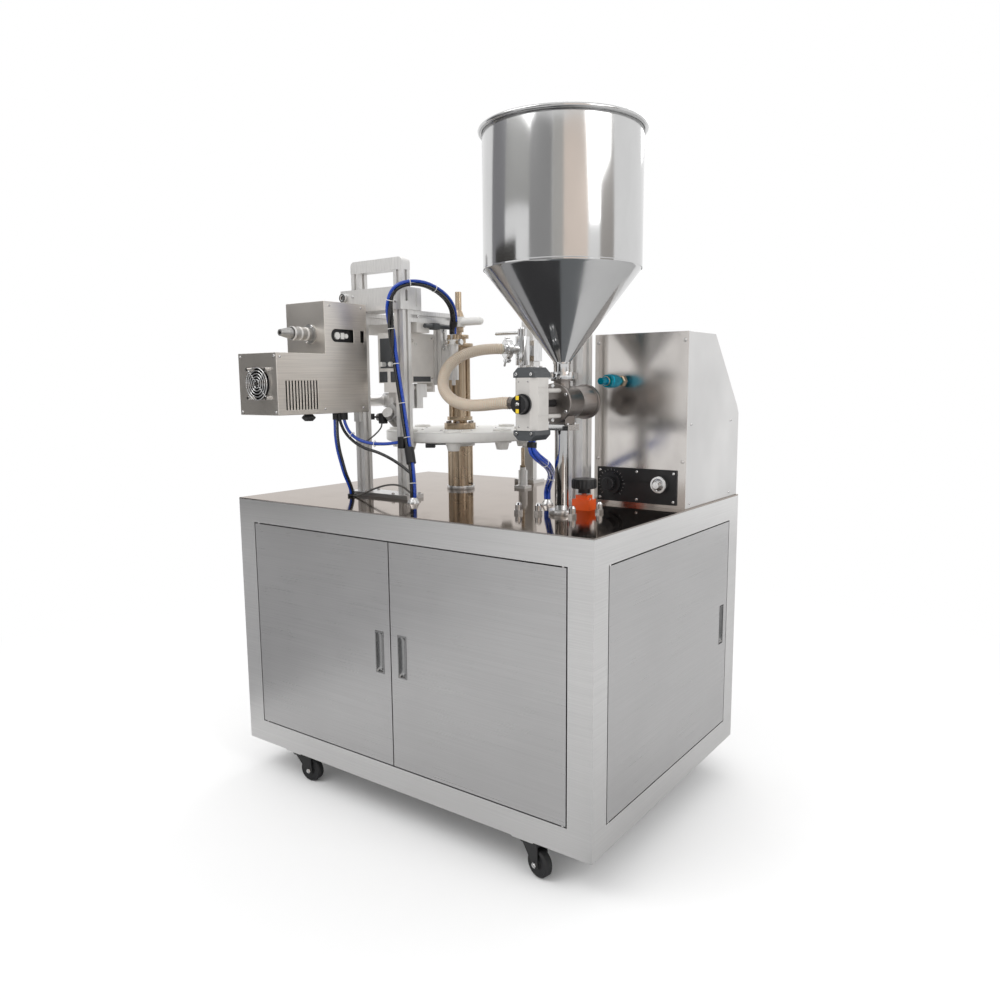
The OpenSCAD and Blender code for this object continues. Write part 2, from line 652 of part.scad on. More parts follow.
// Valve body with its front flange, saddle, hopper port and outlet stub
module valve_body() color(steel) difference() {
    union() {
        bar_y([filler_xy[0], valve_front, valve_z], dose_r, dose_joint - valve_front);
        bar_y([filler_xy[0], valve_front - 10, valve_z], dose_r + 7, 10);
        block([filler_xy[0] - 22, filler_xy[1] - 20, table_z + 206], [filler_xy[0] + 22, filler_xy[1] + 20, valve_z - 20]);
        bar_z([filler_xy[0], filler_xy[1], valve_z], neck_r, neck_z - valve_z);
        bar_z([filler_xy[0], filler_xy[1], neck_z - 4], neck_r + 6, 4);
        bar_x([outlet_x + 0.5, filler_xy[1], valve_z - 2], outlet_r, filler_xy[0] - outlet_x);
        bar_x([outlet_x + 45, filler_xy[1], valve_z - 2], outlet_r + 9, 8);
        bar_x([outlet_x + 54, filler_xy[1], valve_z - 2], outlet_r + 9, 8);
    }
    bar_y([filler_xy[0], valve_front + 3, valve_z], core_r + run, dose_joint - valve_front);
    bar_y([filler_xy[0], valve_front - 20, valve_z], stem_r + run, 40);
    bar_z([filler_xy[0], filler_xy[1], valve_z + 10], neck_r - 6, 60);
    bar_x([outlet_x - 1, filler_xy[1], valve_z - 2], outlet_r - 4, filler_xy[0] - outlet_x - 10);
}

// Rotary plug with its stem and the position indicator on the far end
module valve_core() color("dimgray") {
    x = filler_xy[0];
    difference() {
        bar_y([x, valve_front + 4, valve_z], core_r, dose_joint - valve_front - 6);
        bar_z([x, filler_xy[1], valve_z], neck_r - 7, 40);
        bar_y([x, filler_xy[1], valve_z], neck_r - 7, 60);
    }
    bar_y([x, actuator_lo[1] - 1, valve_z], stem_r, valve_front + 5 - actuator_lo[1]);
    bar_y([x, actuator_lo[1] - 6, valve_z], 22, 5);
    bar_y([x, actuator_lo[1] - 20, valve_z], 19, 15);
    block([x - 5, actuator_lo[1] - 23, valve_z - 19], [x + 5, actuator_lo[1] - 18, valve_z + 19]);
}

module actuator_outline() {
    lo = actuator_lo;
    hi = actuator_hi;
    e = actuator_edge;
    polygon([[lo[0] + e, lo[1]], [hi[0] - e, lo[1]], [hi[0], lo[1] + e], [hi[0], hi[1] - e], [hi[0] - e, hi[1]],
        [lo[0] + e, hi[1]], [lo[0], hi[1] - e], [lo[0], lo[1] + e]]);
}

module actuator_body() color("lightgray") difference() {
    union() {
        translate([0, 0, actuator_lo[2]]) linear_extrude(actuator_hi[2] - actuator_lo[2]) actuator_outline();
        for (x = [-16, 16]) for (z = [-28, 28])
            bar_y([filler_xy[0] + x, actuator_hi[1], valve_z + z], 5, valve_front - 10 - actuator_hi[1]);
    }
    bar_y([filler_xy[0], actuator_lo[1] - 1, valve_z], stem_r + run, actuator_hi[1] - actuator_lo[1] + 2);
    for (z = [-30, 30]) translate([actuator_hi[0] - 1.5, actuator_lo[1] - 1, valve_z + z - 6]) cube([3, 80, 12]);
}

module actuator_caps() color("dimgray") for (s = [-1, 1])
    translate([filler_xy[0], (actuator_lo[1] + actuator_hi[1]) / 2, valve_z + s * 56]) mirror([0, 0, s > 0 ? 0 : 1])
        rotate([90, 0, 0]) translate([0, 0, -31]) linear_extrude(62)
            polygon([[-28, 0], [28, 0], [28, 10], [16, cap_h], [-16, cap_h], [-28, 10]]);

module dosing_cylinder() color(steel) difference() {
    union() {
        bar_y([filler_xy[0], dose_joint, valve_z], dose_r, dose_back - dose_joint);
        bar_y([filler_xy[0], dose_back, valve_z], dose_r + 4, 10);
    }
    bar_y([filler_xy[0], dose_joint - 1, valve_z], piston_r, dose_back - dose_joint);
    bar_y([filler_xy[0], dose_joint, valve_z], rod_r + run, 100);
}

module dosing_piston() color("gray") {
    bar_y([filler_xy[0], dose_joint + 2, valve_z], piston_r - run, 12);
    bar_y([filler_xy[0], dose_joint + 13, valve_z], rod_r, dose_back + 24 - dose_joint - 13);
    bar_y([filler_xy[0], dose_back + 24, valve_z], 11, 12);
}

module hopper() color(polished) translate([filler_xy[0], filler_xy[1], 0]) {
    r = hopper_d / 2;
    rotate_extrude($fn = 96) polygon([[neck_r, neck_z + 16], [neck_r, cone_z], [r, cyl_z], [r, rim_z], [r - 2, rim_z],
        [r - 2, cyl_z + 0.6], [neck_r - 2, cone_z + 0.6], [neck_r - 2, neck_z + 16]]);
    rotate_extrude($fn = 96) translate([r + rim_r - 1, rim_z]) circle(r = rim_r);
}

// Clamp between the hopper and the valve, with the stay to the rear column
module hopper_clamp() color(polished) {
    x = filler_xy[0];
    y = filler_xy[1];
    difference() {
        union() {
            bar_z([x, y, neck_z], neck_r + 8, 16);
            block([x - neck_r - 24, y - 8, neck_z], [x, y + 8, neck_z + 16]);
        }
        bar_z([x, y, neck_z - 1], neck_r - 2, 18);
    }
    block([x - neck_r - 24 - 16, y - 8, neck_z], [x - neck_r - 24, rear_xy[1] - rear_w / 2, neck_z + 16]);
    bar_x([x - neck_r - 54, y, neck_z + 8], 5, 14);
    bar_x([x - neck_r - 66, y, neck_z + 8], 10, 12);
}

module support_columns() color("lightgray") {
    translate([rear_xy[0], rear_xy[1], table_z + foot_t]) linear_extrude(rear_top - table_z - foot_t) slotted(rear_w);
    translate([nozzle_post[0], nozzle_post[1], table_z + foot_t])
        linear_extrude(nozzle_post_top - table_z - foot_t) square([40, 20], center = true);
    // Stop collar under the nozzle slide
    block([nozzle_post[0] - 28, nozzle_post[1] - 18, nozzle_z - 46],
        [nozzle_post[0] + 28, nozzle_post[1] + 18, nozzle_z - 30.3]);
}

// Control housing

module housing_outline(grow) polygon([
    [housing_y, table_z], [housing_y, table_z + housing_h - grow],
    [housing_y + 163, table_z + housing_h - grow], [housing_y + housing_d - 12 - grow, table_z + 238 - grow / 2],
    [housing_y + housing_d - grow, table_z + 218], [housing_y + housing_d - grow, table_z]]);

module control_housing() color(steel) difference() {
    across_x(housing_x, housing_x + housing_w) housing_outline(0);
    across_x(housing_x + sheet, housing_x + housing_w - sheet) translate([0, -1]) housing_outline(sheet);
}

module front_panel() color(polished) {
    block([housing_x, housing_y - sheet, table_z], [housing_x + housing_w, housing_y, table_z + housing_h]);
    for (x = [9, housing_w - 9]) for (z = [113, housing_h - 20])
        bar_y([housing_x + x, housing_y - sheet - 2, table_z + z], 4, 2.5);
}

module control_strip() color(black) difference() {
    block(strip_lo, strip_hi);
    bar_y([dial_xz[0], strip_lo[1] - 1, dial_xz[1]], 5 + run, 6);
    bar_y([regulator_xz[0], strip_lo[1] - 1, regulator_xz[1]], 5 + run, 6);
}

module speed_dial() color(black) {
    p = [dial_xz[0], strip_lo[1], dial_xz[1]];
    bar_y(p - [0, 1, 0], 5, 4);
    bar_y(p - [0, 8, 0], 28, 7.5);
    bar_y(p - [0, 22, 0], 15, 15);
    block(p - [2, 24, 0], p + [2, -20, 14]);
}

module regulator_knob() color(polished) {
    p = [regulator_xz[0], strip_lo[1], regulator_xz[1]];
    bar_y(p - [0, 1, 0], 5, 4);
    difference() {
        bar_y(p - [0, 22, 0], 19, 21.5);
        bar_y(p - [0, 23, 0], 15, 4);
    }
    bar_y(p - [0, 34, 0], 8, 16);
}

module air_coupler() color("darkcyan") {
    p = [coupler_xz[0], housing_y - sheet, coupler_xz[1]];
    bar_y(p - [0, 22, 0], 8, 22);
    bar_y(p - [0, 30, 0], 12, 9);
    bar_y(p - [0, 74, 0], 15, 45);
    bar_y(p - [0, 82, 0], 10, 9);
    bar_y(p - [0, 104, 0], 8, 23);
}

module base_studs() color(polished) for (p = stud_xy) {
    translate([p[0], p[1], table_z]) cylinder(r = 11, h = 8, $fn = 6);
    bar_z([p[0], p[1], table_z + 8], 8, 12);
    translate([p[0], p[1], table_z + 20]) cylinder(r1 = 8, r2 = 5, h = 5);
}

module stroke_block() color("orangered") {
    x = stroke_xy[0];
    y = stroke_xy[1];
    block([x - 23, y - 17, table_z], [x + 23, y + 17, table_z + 26]);
    block([x - 16, y - 12, table_z + 26], [x + 16, y + 12, table_z + 36]);
    bar_z([x, y, table_z + 36], 6, 36);
}

module adjust_knob() color(black) difference() {
    union() {
        translate([stroke_xy[0], stroke_xy[1], table_z + 52]) cylinder(r = 29, h = 22);
        translate([stroke_xy[0], stroke_xy[1], table_z + 40]) cylinder(r = 14, h = 13);
    }
    translate([stroke_xy[0], stroke_xy[1], table_z + 39]) cylinder(r = 6 + run, h = 34);
}

// Filling nozzle and tube lift

module filling_nozzle() color(steel) {
    across = fill_xy - nozzle_post;
    turn = atan2(across[1], across[0]);
    head = [fill_xy[0], fill_xy[1], nozzle_z];
    difference() {
        union() {
            block([nozzle_post[0] - 32, nozzle_post[1] - 22, nozzle_z - 30],
                [nozzle_post[0] + 32, nozzle_post[1] + 22, nozzle_z + 30]);
            translate([nozzle_post[0], nozzle_post[1], nozzle_z - 15]) rotate(turn) translate([0, -12, 0])
                cube([norm(across), 24, 30]);
            bar_z(head - [0, 0, 45], 20, 80);
            bar_z([fill_xy[0], fill_xy[1], nozzle_tip], 9, nozzle_z - nozzle_tip);
            translate(head) rotate(inlet_turn) {
                bar_x([0, 0, 0], 14, inlet_len);
                bar_x([38, 0, 0], 24, 8);
                bar_x([47, 0, 0], 24, 8);
            }
        }
        block([nozzle_post[0] - 20.3, nozzle_post[1] - 10.3, nozzle_z - 31],
            [nozzle_post[0] + 20.3, nozzle_post[1] + 10.3, nozzle_z + 31]);
        bar_z([fill_xy[0], fill_xy[1], nozzle_tip - 1], 6, nozzle_z - nozzle_tip);
        translate(head) rotate(inlet_turn) bar_x([0, 0, 0], 10, inlet_len + 1);
    }
    bar_z(head + [0, 0, 35], 6, 26);
}

module nozzle_lever() color(polished) {
    z = nozzle_z + 36;
    difference() {
        bar_z([fill_xy[0], fill_xy[1], z], 13, 20);
        bar_z([fill_xy[0], fill_xy[1], z - 1], 6 + run, 22);
    }
    difference() {
        bar_x([fill_xy[0] - 92, fill_xy[1], z + 10], 5, 90);
        bar_z([fill_xy[0], fill_xy[1], z - 1], 12.5, 22);
    }
}

module lift_cylinder() color("lightgray") difference() {
    union() {
        translate([fill_xy[0] - 18, fill_xy[1] - 18, table_z]) cube([36, 36, 8]);
        bar_z([fill_xy[0], fill_xy[1], table_z + 8], 13, 44);
        bar_z([fill_xy[0], fill_xy[1], table_z + 52], 9, 8);
    }
    bar_z([fill_xy[0], fill_xy[1], table_z + 5], lift_r + run, 60);
}

module lift_rod() color(brass) {
    bar_z([fill_xy[0], fill_xy[1], table_z + 7], lift_r, 110);
    translate([fill_xy[0], fill_xy[1], table_z + 61]) cylinder(r = 9, h = 5, $fn = 6);
}

module product_hose() color("wheat") swept(product_route, product_od, 12, [0, 0, 1]);
module loop_hoses() color("royalblue") swept(loop_route, loop_od, 8, [1, 0, 0]);
module heater_hoses() color("royalblue") swept(heater_route, heater_od, 8, [0, 1, 0]);
module filler_hoses() color("royalblue") swept(filler_route, filler_od, 8, [1, 0, 0]);

place() cabinet_frame();
place() table_top();
place() panels();
place() door_left();
place() door_right();
place() side_door();
place() caster_fork(0);  // caster_fork_1
place() caster_fork(1);  // caster_fork_2
place() caster_fork(2);  // caster_fork_3
place() caster_fork(3);  // caster_fork_4
place() caster_wheel(0);  // caster_wheel_1
place() caster_wheel(1);  // caster_wheel_2
place() caster_wheel(2);  // caster_wheel_3
place() caster_wheel(3);  // caster_wheel_4
place() index_drive();
place() base_flanges();
place() hub_sleeve();
place() index_disc();
place() tube_cups();
place() upper_column();
place() top_arm();
place() profile_frame();
place() head_channel();
place() jaw_housing();
place() jaw_front();
place() jaw_rear();
place() trim_cylinder();
place() mark_sensor();
place() heater_housing();
place() fan_guard();
place() fan_rotor();
place() hot_air_gun();
place() air_duct();
place() filler_column();
place() valve_body();
place() valve_core();
place() actuator_body();
place() actuator_caps();
place() dosing_cylinder();
place() dosing_piston();
place() hopper();
place() hopper_clamp();
place() support_columns();
place() control_housing();
place() front_panel();
place() control_strip();
place() speed_dial();
place() regulator_knob();
place() air_coupler();
place() base_studs();
place() stroke_block();
place() adjust_knob();
place() filling_nozzle();
place() nozzle_lever();
place() lift_cylinder();
place() lift_rod();
place() product_hose();
place() loop_hoses();
place() heater_hoses();
place() filler_hoses();
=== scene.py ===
"""Looks of a tube filling machine, laid out as an add-on and run as a script."""

import math
from itertools import product

import bmesh
import bpy
from bpy.props import FloatProperty, FloatVectorProperty, PointerProperty
from mathutils import Matrix, Vector


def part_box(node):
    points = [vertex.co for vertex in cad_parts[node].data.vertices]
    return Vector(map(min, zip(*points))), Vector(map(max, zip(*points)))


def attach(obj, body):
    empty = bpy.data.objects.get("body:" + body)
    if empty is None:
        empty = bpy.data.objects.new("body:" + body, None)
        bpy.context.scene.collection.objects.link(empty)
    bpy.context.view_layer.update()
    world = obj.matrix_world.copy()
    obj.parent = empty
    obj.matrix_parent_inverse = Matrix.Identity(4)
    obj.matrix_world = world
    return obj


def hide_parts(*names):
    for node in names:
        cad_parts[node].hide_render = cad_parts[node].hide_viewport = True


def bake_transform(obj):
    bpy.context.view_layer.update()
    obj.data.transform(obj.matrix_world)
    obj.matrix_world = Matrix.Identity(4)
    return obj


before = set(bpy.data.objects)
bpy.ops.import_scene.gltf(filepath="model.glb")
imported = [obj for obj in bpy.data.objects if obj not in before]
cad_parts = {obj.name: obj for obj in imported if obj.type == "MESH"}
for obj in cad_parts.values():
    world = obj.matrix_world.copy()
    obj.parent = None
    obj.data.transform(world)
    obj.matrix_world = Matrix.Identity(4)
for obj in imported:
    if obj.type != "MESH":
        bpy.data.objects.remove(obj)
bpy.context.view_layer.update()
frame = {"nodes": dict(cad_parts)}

bl_info = {
    "name": "Tube filling machine",
    "version": (1, 0, 0),
    "blender": (4, 5, 0),
    "location": "3D View > Sidebar > Filler",
    "description": "Dresses the solids of a tube filling machine with finishes, hoses and fittings",
    "category": "Object",
}

# Places are written in millimetres from the cabinet's middle and the table top; SHIFT takes them to the frame
SHIFT = Vector((0.0, 0.055, 0.765))
MM = 0.001
X_AXIS = Vector((1, 0, 0))
Y_AXIS = Vector((0, 1, 0))
Z_AXIS = Vector((0, 0, 1))
# Axes of the filler, the index disc, the filling station and the small air cylinder, seen from above
FILLER = (330, -155)
DISC = (-164, 89)
FILL = (-13.04, 187.03)
TRIM = (-114, 2)
# Heights of the valve's stem and of the product hose's two ends
STEM_HEIGHT = 255
OUTLET_HEIGHT = 253
NOZZLE_HEIGHT = 395
# Centres seen from the front: the hot air gun and the air coupling
GUN = (-300, 426)
COUPLER = (373, 303)


def spot(x, y, z):
    """A point of the machine in metres."""
    return Vector((x, y, z)) / 1000 + SHIFT


# Properties


def colour(name, text, default):
    """A colour that a user may change."""
    return FloatVectorProperty(name=name, description=text, subtype="COLOR", size=3, min=0, max=1,
                               default=default)


def length(name, text, default):
    """A length in metres that a user may change."""
    return FloatProperty(name=name, description=text, unit="LENGTH", subtype="DISTANCE", min=0,
                         default=default)


class FillerColours(bpy.types.PropertyGroup):
    """Colours of the machine's finishes."""

    frame: colour("Frame steel", "Brushed steel of the cabinet frame", (0.76, 0.755, 0.75))
    door: colour("Door steel", "Brushed steel of the doors", (0.6, 0.595, 0.595))
    mirror: colour("Polished steel", "Polished steel of the hopper", (0.6, 0.6, 0.6))
    table: colour("Table steel", "Warm polished steel of the table", (0.43, 0.4, 0.38))
    panel: colour("Panel steel", "Satin steel of the control panel", (0.63, 0.6, 0.575))
    heater: colour("Heater steel", "Warm brushed steel of the hot air head", (0.79, 0.75, 0.7))
    turned: colour("Turned steel", "Satin steel of the valve and dosing cylinder", (0.3, 0.275, 0.26))
    alloy: colour("Aluminium", "Anodised aluminium profile", (0.74, 0.73, 0.715))
    grey: colour("Grey enamel", "Light grey enamel", (0.55, 0.53, 0.505))
    charcoal: colour("Charcoal", "Dark grey moulded caps", (0.07, 0.075, 0.08))
    black: colour("Black", "Black plastic", (0.012, 0.012, 0.013))
    nylon: colour("Nylon", "White nylon", (0.82, 0.81, 0.78))
    brass: colour("Brass", "Satin brass", (0.47, 0.37, 0.265))
    orange: colour("Orange", "Orange red plastic", (0.86, 0.11, 0.015))
    cyan: colour("Cyan", "Anodised coupling", (0.0, 0.33, 0.48))
    blue: colour("Blue tube", "Blue air tube", (0.004, 0.055, 0.42))
    hose: colour("Hose", "Beige hose wall", (0.56, 0.51, 0.41))
    helix: colour("Helix", "Copper pink helix in the hose", (0.56, 0.35, 0.26))
    yellow: colour("Mark", "Yellow position mark", (0.85, 0.6, 0.02))


class FillerSizes(bpy.types.PropertyGroup):
    """Sizes of the pieces that are added to the solids."""

    product_hose: length("Product hose", "Outer diameter of the product hose", 0.030)
    hose_pitch: length("Rib pitch", "Distance between the ribs of the product hose", 0.0068)
    air_tube: length("Air tube", "Outer diameter of an air tube", 0.008)


def colours():
    """The machine's colours."""
    return bpy.context.scene.filler_colours


def sizes():
    """The machine's sizes."""
    return bpy.context.scene.filler_sizes


# Materials


class Value:
    """A socket in a material. Arithmetic on it adds Math nodes."""

    def __init__(self, finish, socket):
        self.finish = finish
        self.socket = socket

    def math(self, operation, first, second):
        return self.finish.node("ShaderNodeMath", "Value", {0: first, 1: second}, operation=operation)

    def __add__(self, other):
        return self.math("ADD", self, other)

    def __radd__(self, other):
        return self.math("ADD", other, self)

    def __mul__(self, other):
        return self.math("MULTIPLY", self, other)


class Finish:
    """One procedural material with a Principled shader."""

    def __init__(self, name):
        self.material = bpy.data.materials.new(name)
        self.material.use_nodes = True
        self.tree = self.material.node_tree
        self.tree.nodes.clear()
        self.shader = self.make("ShaderNodeBsdfPrincipled", {})
        self.make("ShaderNodeOutputMaterial", {"Surface": Value(self, self.shader.outputs["BSDF"])})
        self.place = self.node("ShaderNodeTexCoord", "Object", {})

    def make(self, kind, sockets, **settings):
        """Adds a node with its inputs and settings."""
        made = self.tree.nodes.new(kind)
        for key, value in settings.items():
            setattr(made, key, value)
        self.fill(made, sockets)
        return made

    def node(self, kind, output, sockets, **settings):
        """Adds a node and returns one of its outputs."""
        return Value(self, self.make(kind, sockets, **settings).outputs[output])

    def fill(self, made, sockets):
        """Links or sets a node's inputs."""
        for key, value in sockets.items():
            if isinstance(value, Value):
                self.tree.links.new(value.socket, made.inputs[key])
            else:
                made.inputs[key].default_value = value

    def noise(self, stretch, detail=3.0, rough=0.5):
        """Noise with its own number of grains per metre along X, Y and Z."""
        where = self.node("ShaderNodeMapping", "Vector", {"Vector": self.place, "Scale": stretch})
        return self.node("ShaderNodeTexNoise", "Fac",
                         {"Vector": where, "Scale": 1.0, "Detail": detail, "Roughness": rough})

    def spread(self, value, low, high):
        """Stretches the middle of a noise to 0 to 1."""
        return self.node("ShaderNodeMapRange", "Result",
                         {"Value": value, "From Min": low, "From Max": high}, clamp=True)

    def mix(self, factor, first, second):
        """A colour between two colours."""
        return self.node("ShaderNodeMix", 2, {0: factor, 6: rgba(first), 7: rgba(second)}, data_type="RGBA")

    def bump(self, height, strength, distance):
        """A normal from a height; distance is in metres."""
        return self.node("ShaderNodeBump", "Normal",
                         {"Height": height, "Strength": strength, "Distance": distance})

    def set(self, sockets):
        """Fills the shader's inputs."""
        self.fill(self.shader, sockets)
        return self


def rgba(value):
    """A plain colour with its alpha, or a link as it is."""
    if isinstance(value, Value):
        return value
    return (*value[:3], 1.0)


def shade(tint, share):
    """A colour made darker or lighter."""
    return tuple(min(1.0, part * share) for part in tint)


def brushed(name, tint, grain, rough=0.27, depth=0.06, contrast=0.1):
    """Brushed steel: grain gives the number of scratches per metre along X, Y and Z."""
    finish = Finish(name)
    lines = finish.noise(grain, 2.0)
    cloud = finish.noise((2.2, 2.2, 2.6), 2.0)
    wear = finish.noise((9, 9, 11), 4.0, 0.6)
    shine = finish.spread(lines, 0.3, 0.7)
    base = finish.mix(shine, shade(tint, 1 - contrast), shade(tint, 1 + contrast))
    base = finish.mix(finish.spread(cloud, 0.35, 0.7) * 0.35, base, shade(tint, 0.8))
    return finish.set({
        "Base Color": base, "Metallic": 1.0,
        "Roughness": rough + shine * 0.07 + finish.spread(wear, 0.45, 0.75) * 0.06,
        "Normal": finish.bump(lines, depth, 0.0004),
    })


def polished(name, tint, rough=0.07, wave=0.03):
    """Polished steel with faint waves, wiping marks and fine scratches."""
    finish = Finish(name)
    marks = finish.noise((14, 14, 6), 5.0, 0.6)
    waves = finish.noise((5, 5, 4), 1.0)
    lines = finish.noise((60, 700, 700), 2.0)
    base = finish.mix(finish.spread(marks, 0.4, 0.7) * 0.4, tint, shade(tint, 0.86))
    return finish.set({
        "Base Color": base, "Metallic": 1.0,
        "Roughness": rough + finish.spread(marks, 0.45, 0.75) * 0.07 + finish.spread(lines, 0.6, 0.75) * 0.03,
        "Normal": finish.bump(waves, wave, 0.004),
    })


def satin(name, tint, rough=0.3, metal=1.0, grain=(400, 400, 30)):
    """Satin metal: anodised profile, turned steel or brass."""
    finish = Finish(name)
    lines = finish.noise(grain, 2.0)
    cloud = finish.noise((18, 18, 18), 3.0)
    base = finish.mix(finish.spread(lines, 0.3, 0.7), shade(tint, 0.9), shade(tint, 1.06))
    base = finish.mix(finish.spread(cloud, 0.5, 0.8) * 0.4, base, shade(tint, 0.8))
    return finish.set({
        "Base Color": base, "Metallic": metal,
        "Roughness": rough + finish.spread(cloud, 0.3, 0.7) * 0.1,
        "Normal": finish.bump(lines, 0.05, 0.0003),
    })


def moulded(name, tint, rough=0.42, pores=900, depth=0.12, coat=0.0):
    """Moulded plastic, rubber or enamel with a fine skin and handling marks."""
    finish = Finish(name)
    skin = finish.noise((pores, pores, pores), 2.0)
    cloud = finish.noise((22, 22, 22), 4.0, 0.6)
    base = finish.mix(finish.spread(cloud, 0.35, 0.75) * 0.55, tint, shade(tint, 0.8))
    return finish.set({
        "Base Color": base, "Coat Weight": coat,
        "Roughness": rough + finish.spread(cloud, 0.4, 0.75) * 0.14,
        "Normal": finish.bump(skin, depth, 0.0002),
    })


def nylon(name, tint):
    """Turned nylon: soft white with faint tool rings and grey handling marks."""
    finish = Finish(name)
    cloud = finish.noise((12, 12, 12), 4.0, 0.6)
    skin = finish.noise((260, 260, 900), 2.0)
    base = finish.mix(finish.spread(cloud, 0.5, 0.8) * 0.5, tint, shade(tint, 0.84))
    return finish.set({
        "Base Color": base, "Roughness": 0.4 + finish.spread(cloud, 0.3, 0.7) * 0.12,
        "Normal": finish.bump(skin, 0.08, 0.0003),
        "Subsurface Weight": 0.12, "Subsurface Radius": (0.01, 0.01, 0.009),
    })


def hose_wall(name, tint, helix):
    """Ribbed hose: the helix shows through the beige wall as pink rings."""
    finish = Finish(name)
    ring = finish.node("ShaderNodeAttribute", "Fac", {}, attribute_name="rib")
    cloud = finish.noise((40, 40, 40), 3.0)
    base = finish.mix(finish.spread(ring, 0.55, 1.0) * 0.7, tint, helix)
    base = finish.mix(finish.spread(cloud, 0.4, 0.75) * 0.35, base, shade(tint, 0.78))
    return finish.set({
        "Base Color": base, "Roughness": 0.36 + finish.spread(cloud, 0.3, 0.7) * 0.12,
        "Subsurface Weight": 0.25, "Subsurface Radius": (0.006, 0.004, 0.003),
    })


FINISHES = {}
# Distance at which a solid's points are joined, and the angle from which an edge is rounded
WELD = 0.00002
SHARP = math.radians(40)
# Tint of the table's reflection at a low angle
WARM_GLANCE = (0.78, 0.73, 0.69, 1.0)


def make_finishes():
    """Builds every finish once."""
    tint = colours()
    FINISHES.update({
        "frame": brushed("frame_steel", tint.frame, (5, 5, 900), 0.3, 0.04, 0.05),
        "door": brushed("door_steel", tint.door, (4, 4, 1100), 0.27, 0.06, 0.06),
        "housing": brushed("housing_steel", shade(tint.frame, 0.88), (500, 5, 5), 0.36),
        "heater": brushed("heater_steel", tint.heater, (900, 7, 900), 0.32),
        "mirror": polished("polished_steel", tint.mirror, 0.05),
        "hopper": polished("hopper_steel", tint.mirror, 0.12, 0.06),
        "table": polished("table_steel", tint.table, 0.07, 0.02).set({"Specular Tint": WARM_GLANCE}),
        "panel": polished("panel_steel", tint.panel, 0.16, 0.05),
        "chrome": satin("bright_steel", shade(tint.mirror, 1.15), 0.1),
        "turned": satin("turned_steel", tint.turned, 0.26, 1.0, (900, 20, 900)),
        "pull": satin("pull_steel", shade(tint.mirror, 0.6), 0.22),
        "alloy": satin("anodised_profile", tint.alloy, 0.34, 0.55),
        "cast": satin("grey_casting", shade(tint.alloy, 0.62), 0.42),
        "grey": moulded("grey_enamel", tint.grey, 0.35, 500, 0.08),
        # Painted light: a lighter copy of the grey enamel for the jaw housing, which cancels the shade that
        # the parts round it cast
        "pale": moulded("grey_enamel_lit_copy", shade(tint.grey, 1.45), 0.35, 500, 0.08),
        "charcoal": moulded("charcoal_caps", tint.charcoal, 0.4, 700),
        "black": moulded("black_plastic", tint.black, 0.34, 700),
        "rubber": moulded("black_rubber", shade(tint.black, 1.3), 0.55, 500, 0.2),
        "nylon": nylon("white_nylon", tint.nylon),
        "brass": satin("satin_brass", tint.brass, 0.24),
        "orange": moulded("orange_plastic", tint.orange, 0.28, 600, 0.05, 0.3),
        "cyan": satin("cyan_coupling", tint.cyan, 0.2, 0.85, (500, 20, 500)),
        "blue": moulded("blue_tube", tint.blue, 0.2, 300, 0.03, 0.5),
        "black_tube": moulded("black_tube", tint.black, 0.22, 300, 0.03, 0.4),
        "grey_cable": moulded("grey_cable", (0.09, 0.085, 0.08), 0.4, 300, 0.03),
        "hose": hose_wall("product_hose_wall", tint.hose, tint.helix),
        "yellow": moulded("yellow_mark", tint.yellow, 0.4, 400, 0.04),
        "white": moulded("white_plastic", tint.nylon, 0.35, 500, 0.05),
    })


def dress(node, finish):
    """Gives a solid its finish."""
    slots = frame["nodes"][node].data.materials
    slots.clear()
    slots.append(FINISHES[finish].material)


def soften(node, width):
    """Rounds a solid's cut edges with live modifiers."""
    obj = frame["nodes"][node]
    weld = obj.modifiers.new("weld", "WELD")
    weld.merge_threshold = WELD
    round_edges = obj.modifiers.new("edges", "BEVEL")
    round_edges.width = width
    round_edges.segments = 2
    round_edges.limit_method = "ANGLE"
    round_edges.angle_limit = SHARP
    round_edges.harden_normals = True
    round_edges.use_clamp_overlap = True


# Mesh helpers


def added(name, data):
    """A new object in the scene."""
    made = bpy.data.objects.new(name, data)
    bpy.context.scene.collection.objects.link(made)
    return made


def mesh_of(name, bm):
    """A mesh from a bmesh, which is freed."""
    mesh = bpy.data.meshes.new(name)
    bm.to_mesh(mesh)
    bm.free()
    return mesh


def keep(name, bm, finish, body="machine", smooth=35):
    """Turns a bmesh into a piece that rides on a body; edges sharper than smooth degrees stay sharp."""
    bmesh.ops.remove_doubles(bm, verts=bm.verts, dist=1e-6)
    bmesh.ops.recalc_face_normals(bm, faces=bm.faces)
    mesh = mesh_of(name, bm)
    mesh.shade_smooth()
    mesh.set_sharp_from_angle(angle=math.radians(smooth))
    mesh.materials.append(FINISHES[finish].material)
    piece = added(name, mesh)
    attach(piece, body)
    return piece


def move(bm, matrix, verts=None):
    """Moves some vertices, or all."""
    bmesh.ops.transform(bm, matrix=matrix, verts=bm.verts if verts is None else verts)


def turned(bm, profile, centre, axis, segments=48):
    """Spins a profile of (radius, height) points in metres about an axis and returns its vertices."""
    before = set(bm.verts)
    points = [bm.verts.new((r, 0, h)) for r, h in profile]
    lines = [bm.edges.new(pair) for pair in zip(points, points[1:])]
    bmesh.ops.spin(bm, geom=points + lines, cent=(0, 0, 0), axis=(0, 0, 1), dvec=(0, 0, 0),
                   angle=math.tau, steps=segments, use_merge=True, use_duplicate=False)
    fresh = [v for v in bm.verts if v not in before]
    move(bm, upright(centre, axis), fresh)
    return fresh


def upright(centre, axis):
    """A placing matrix whose local Z runs along an axis."""
    return Matrix.Translation(centre) @ Vector(axis).to_track_quat("Z", "Y").to_matrix().to_4x4()


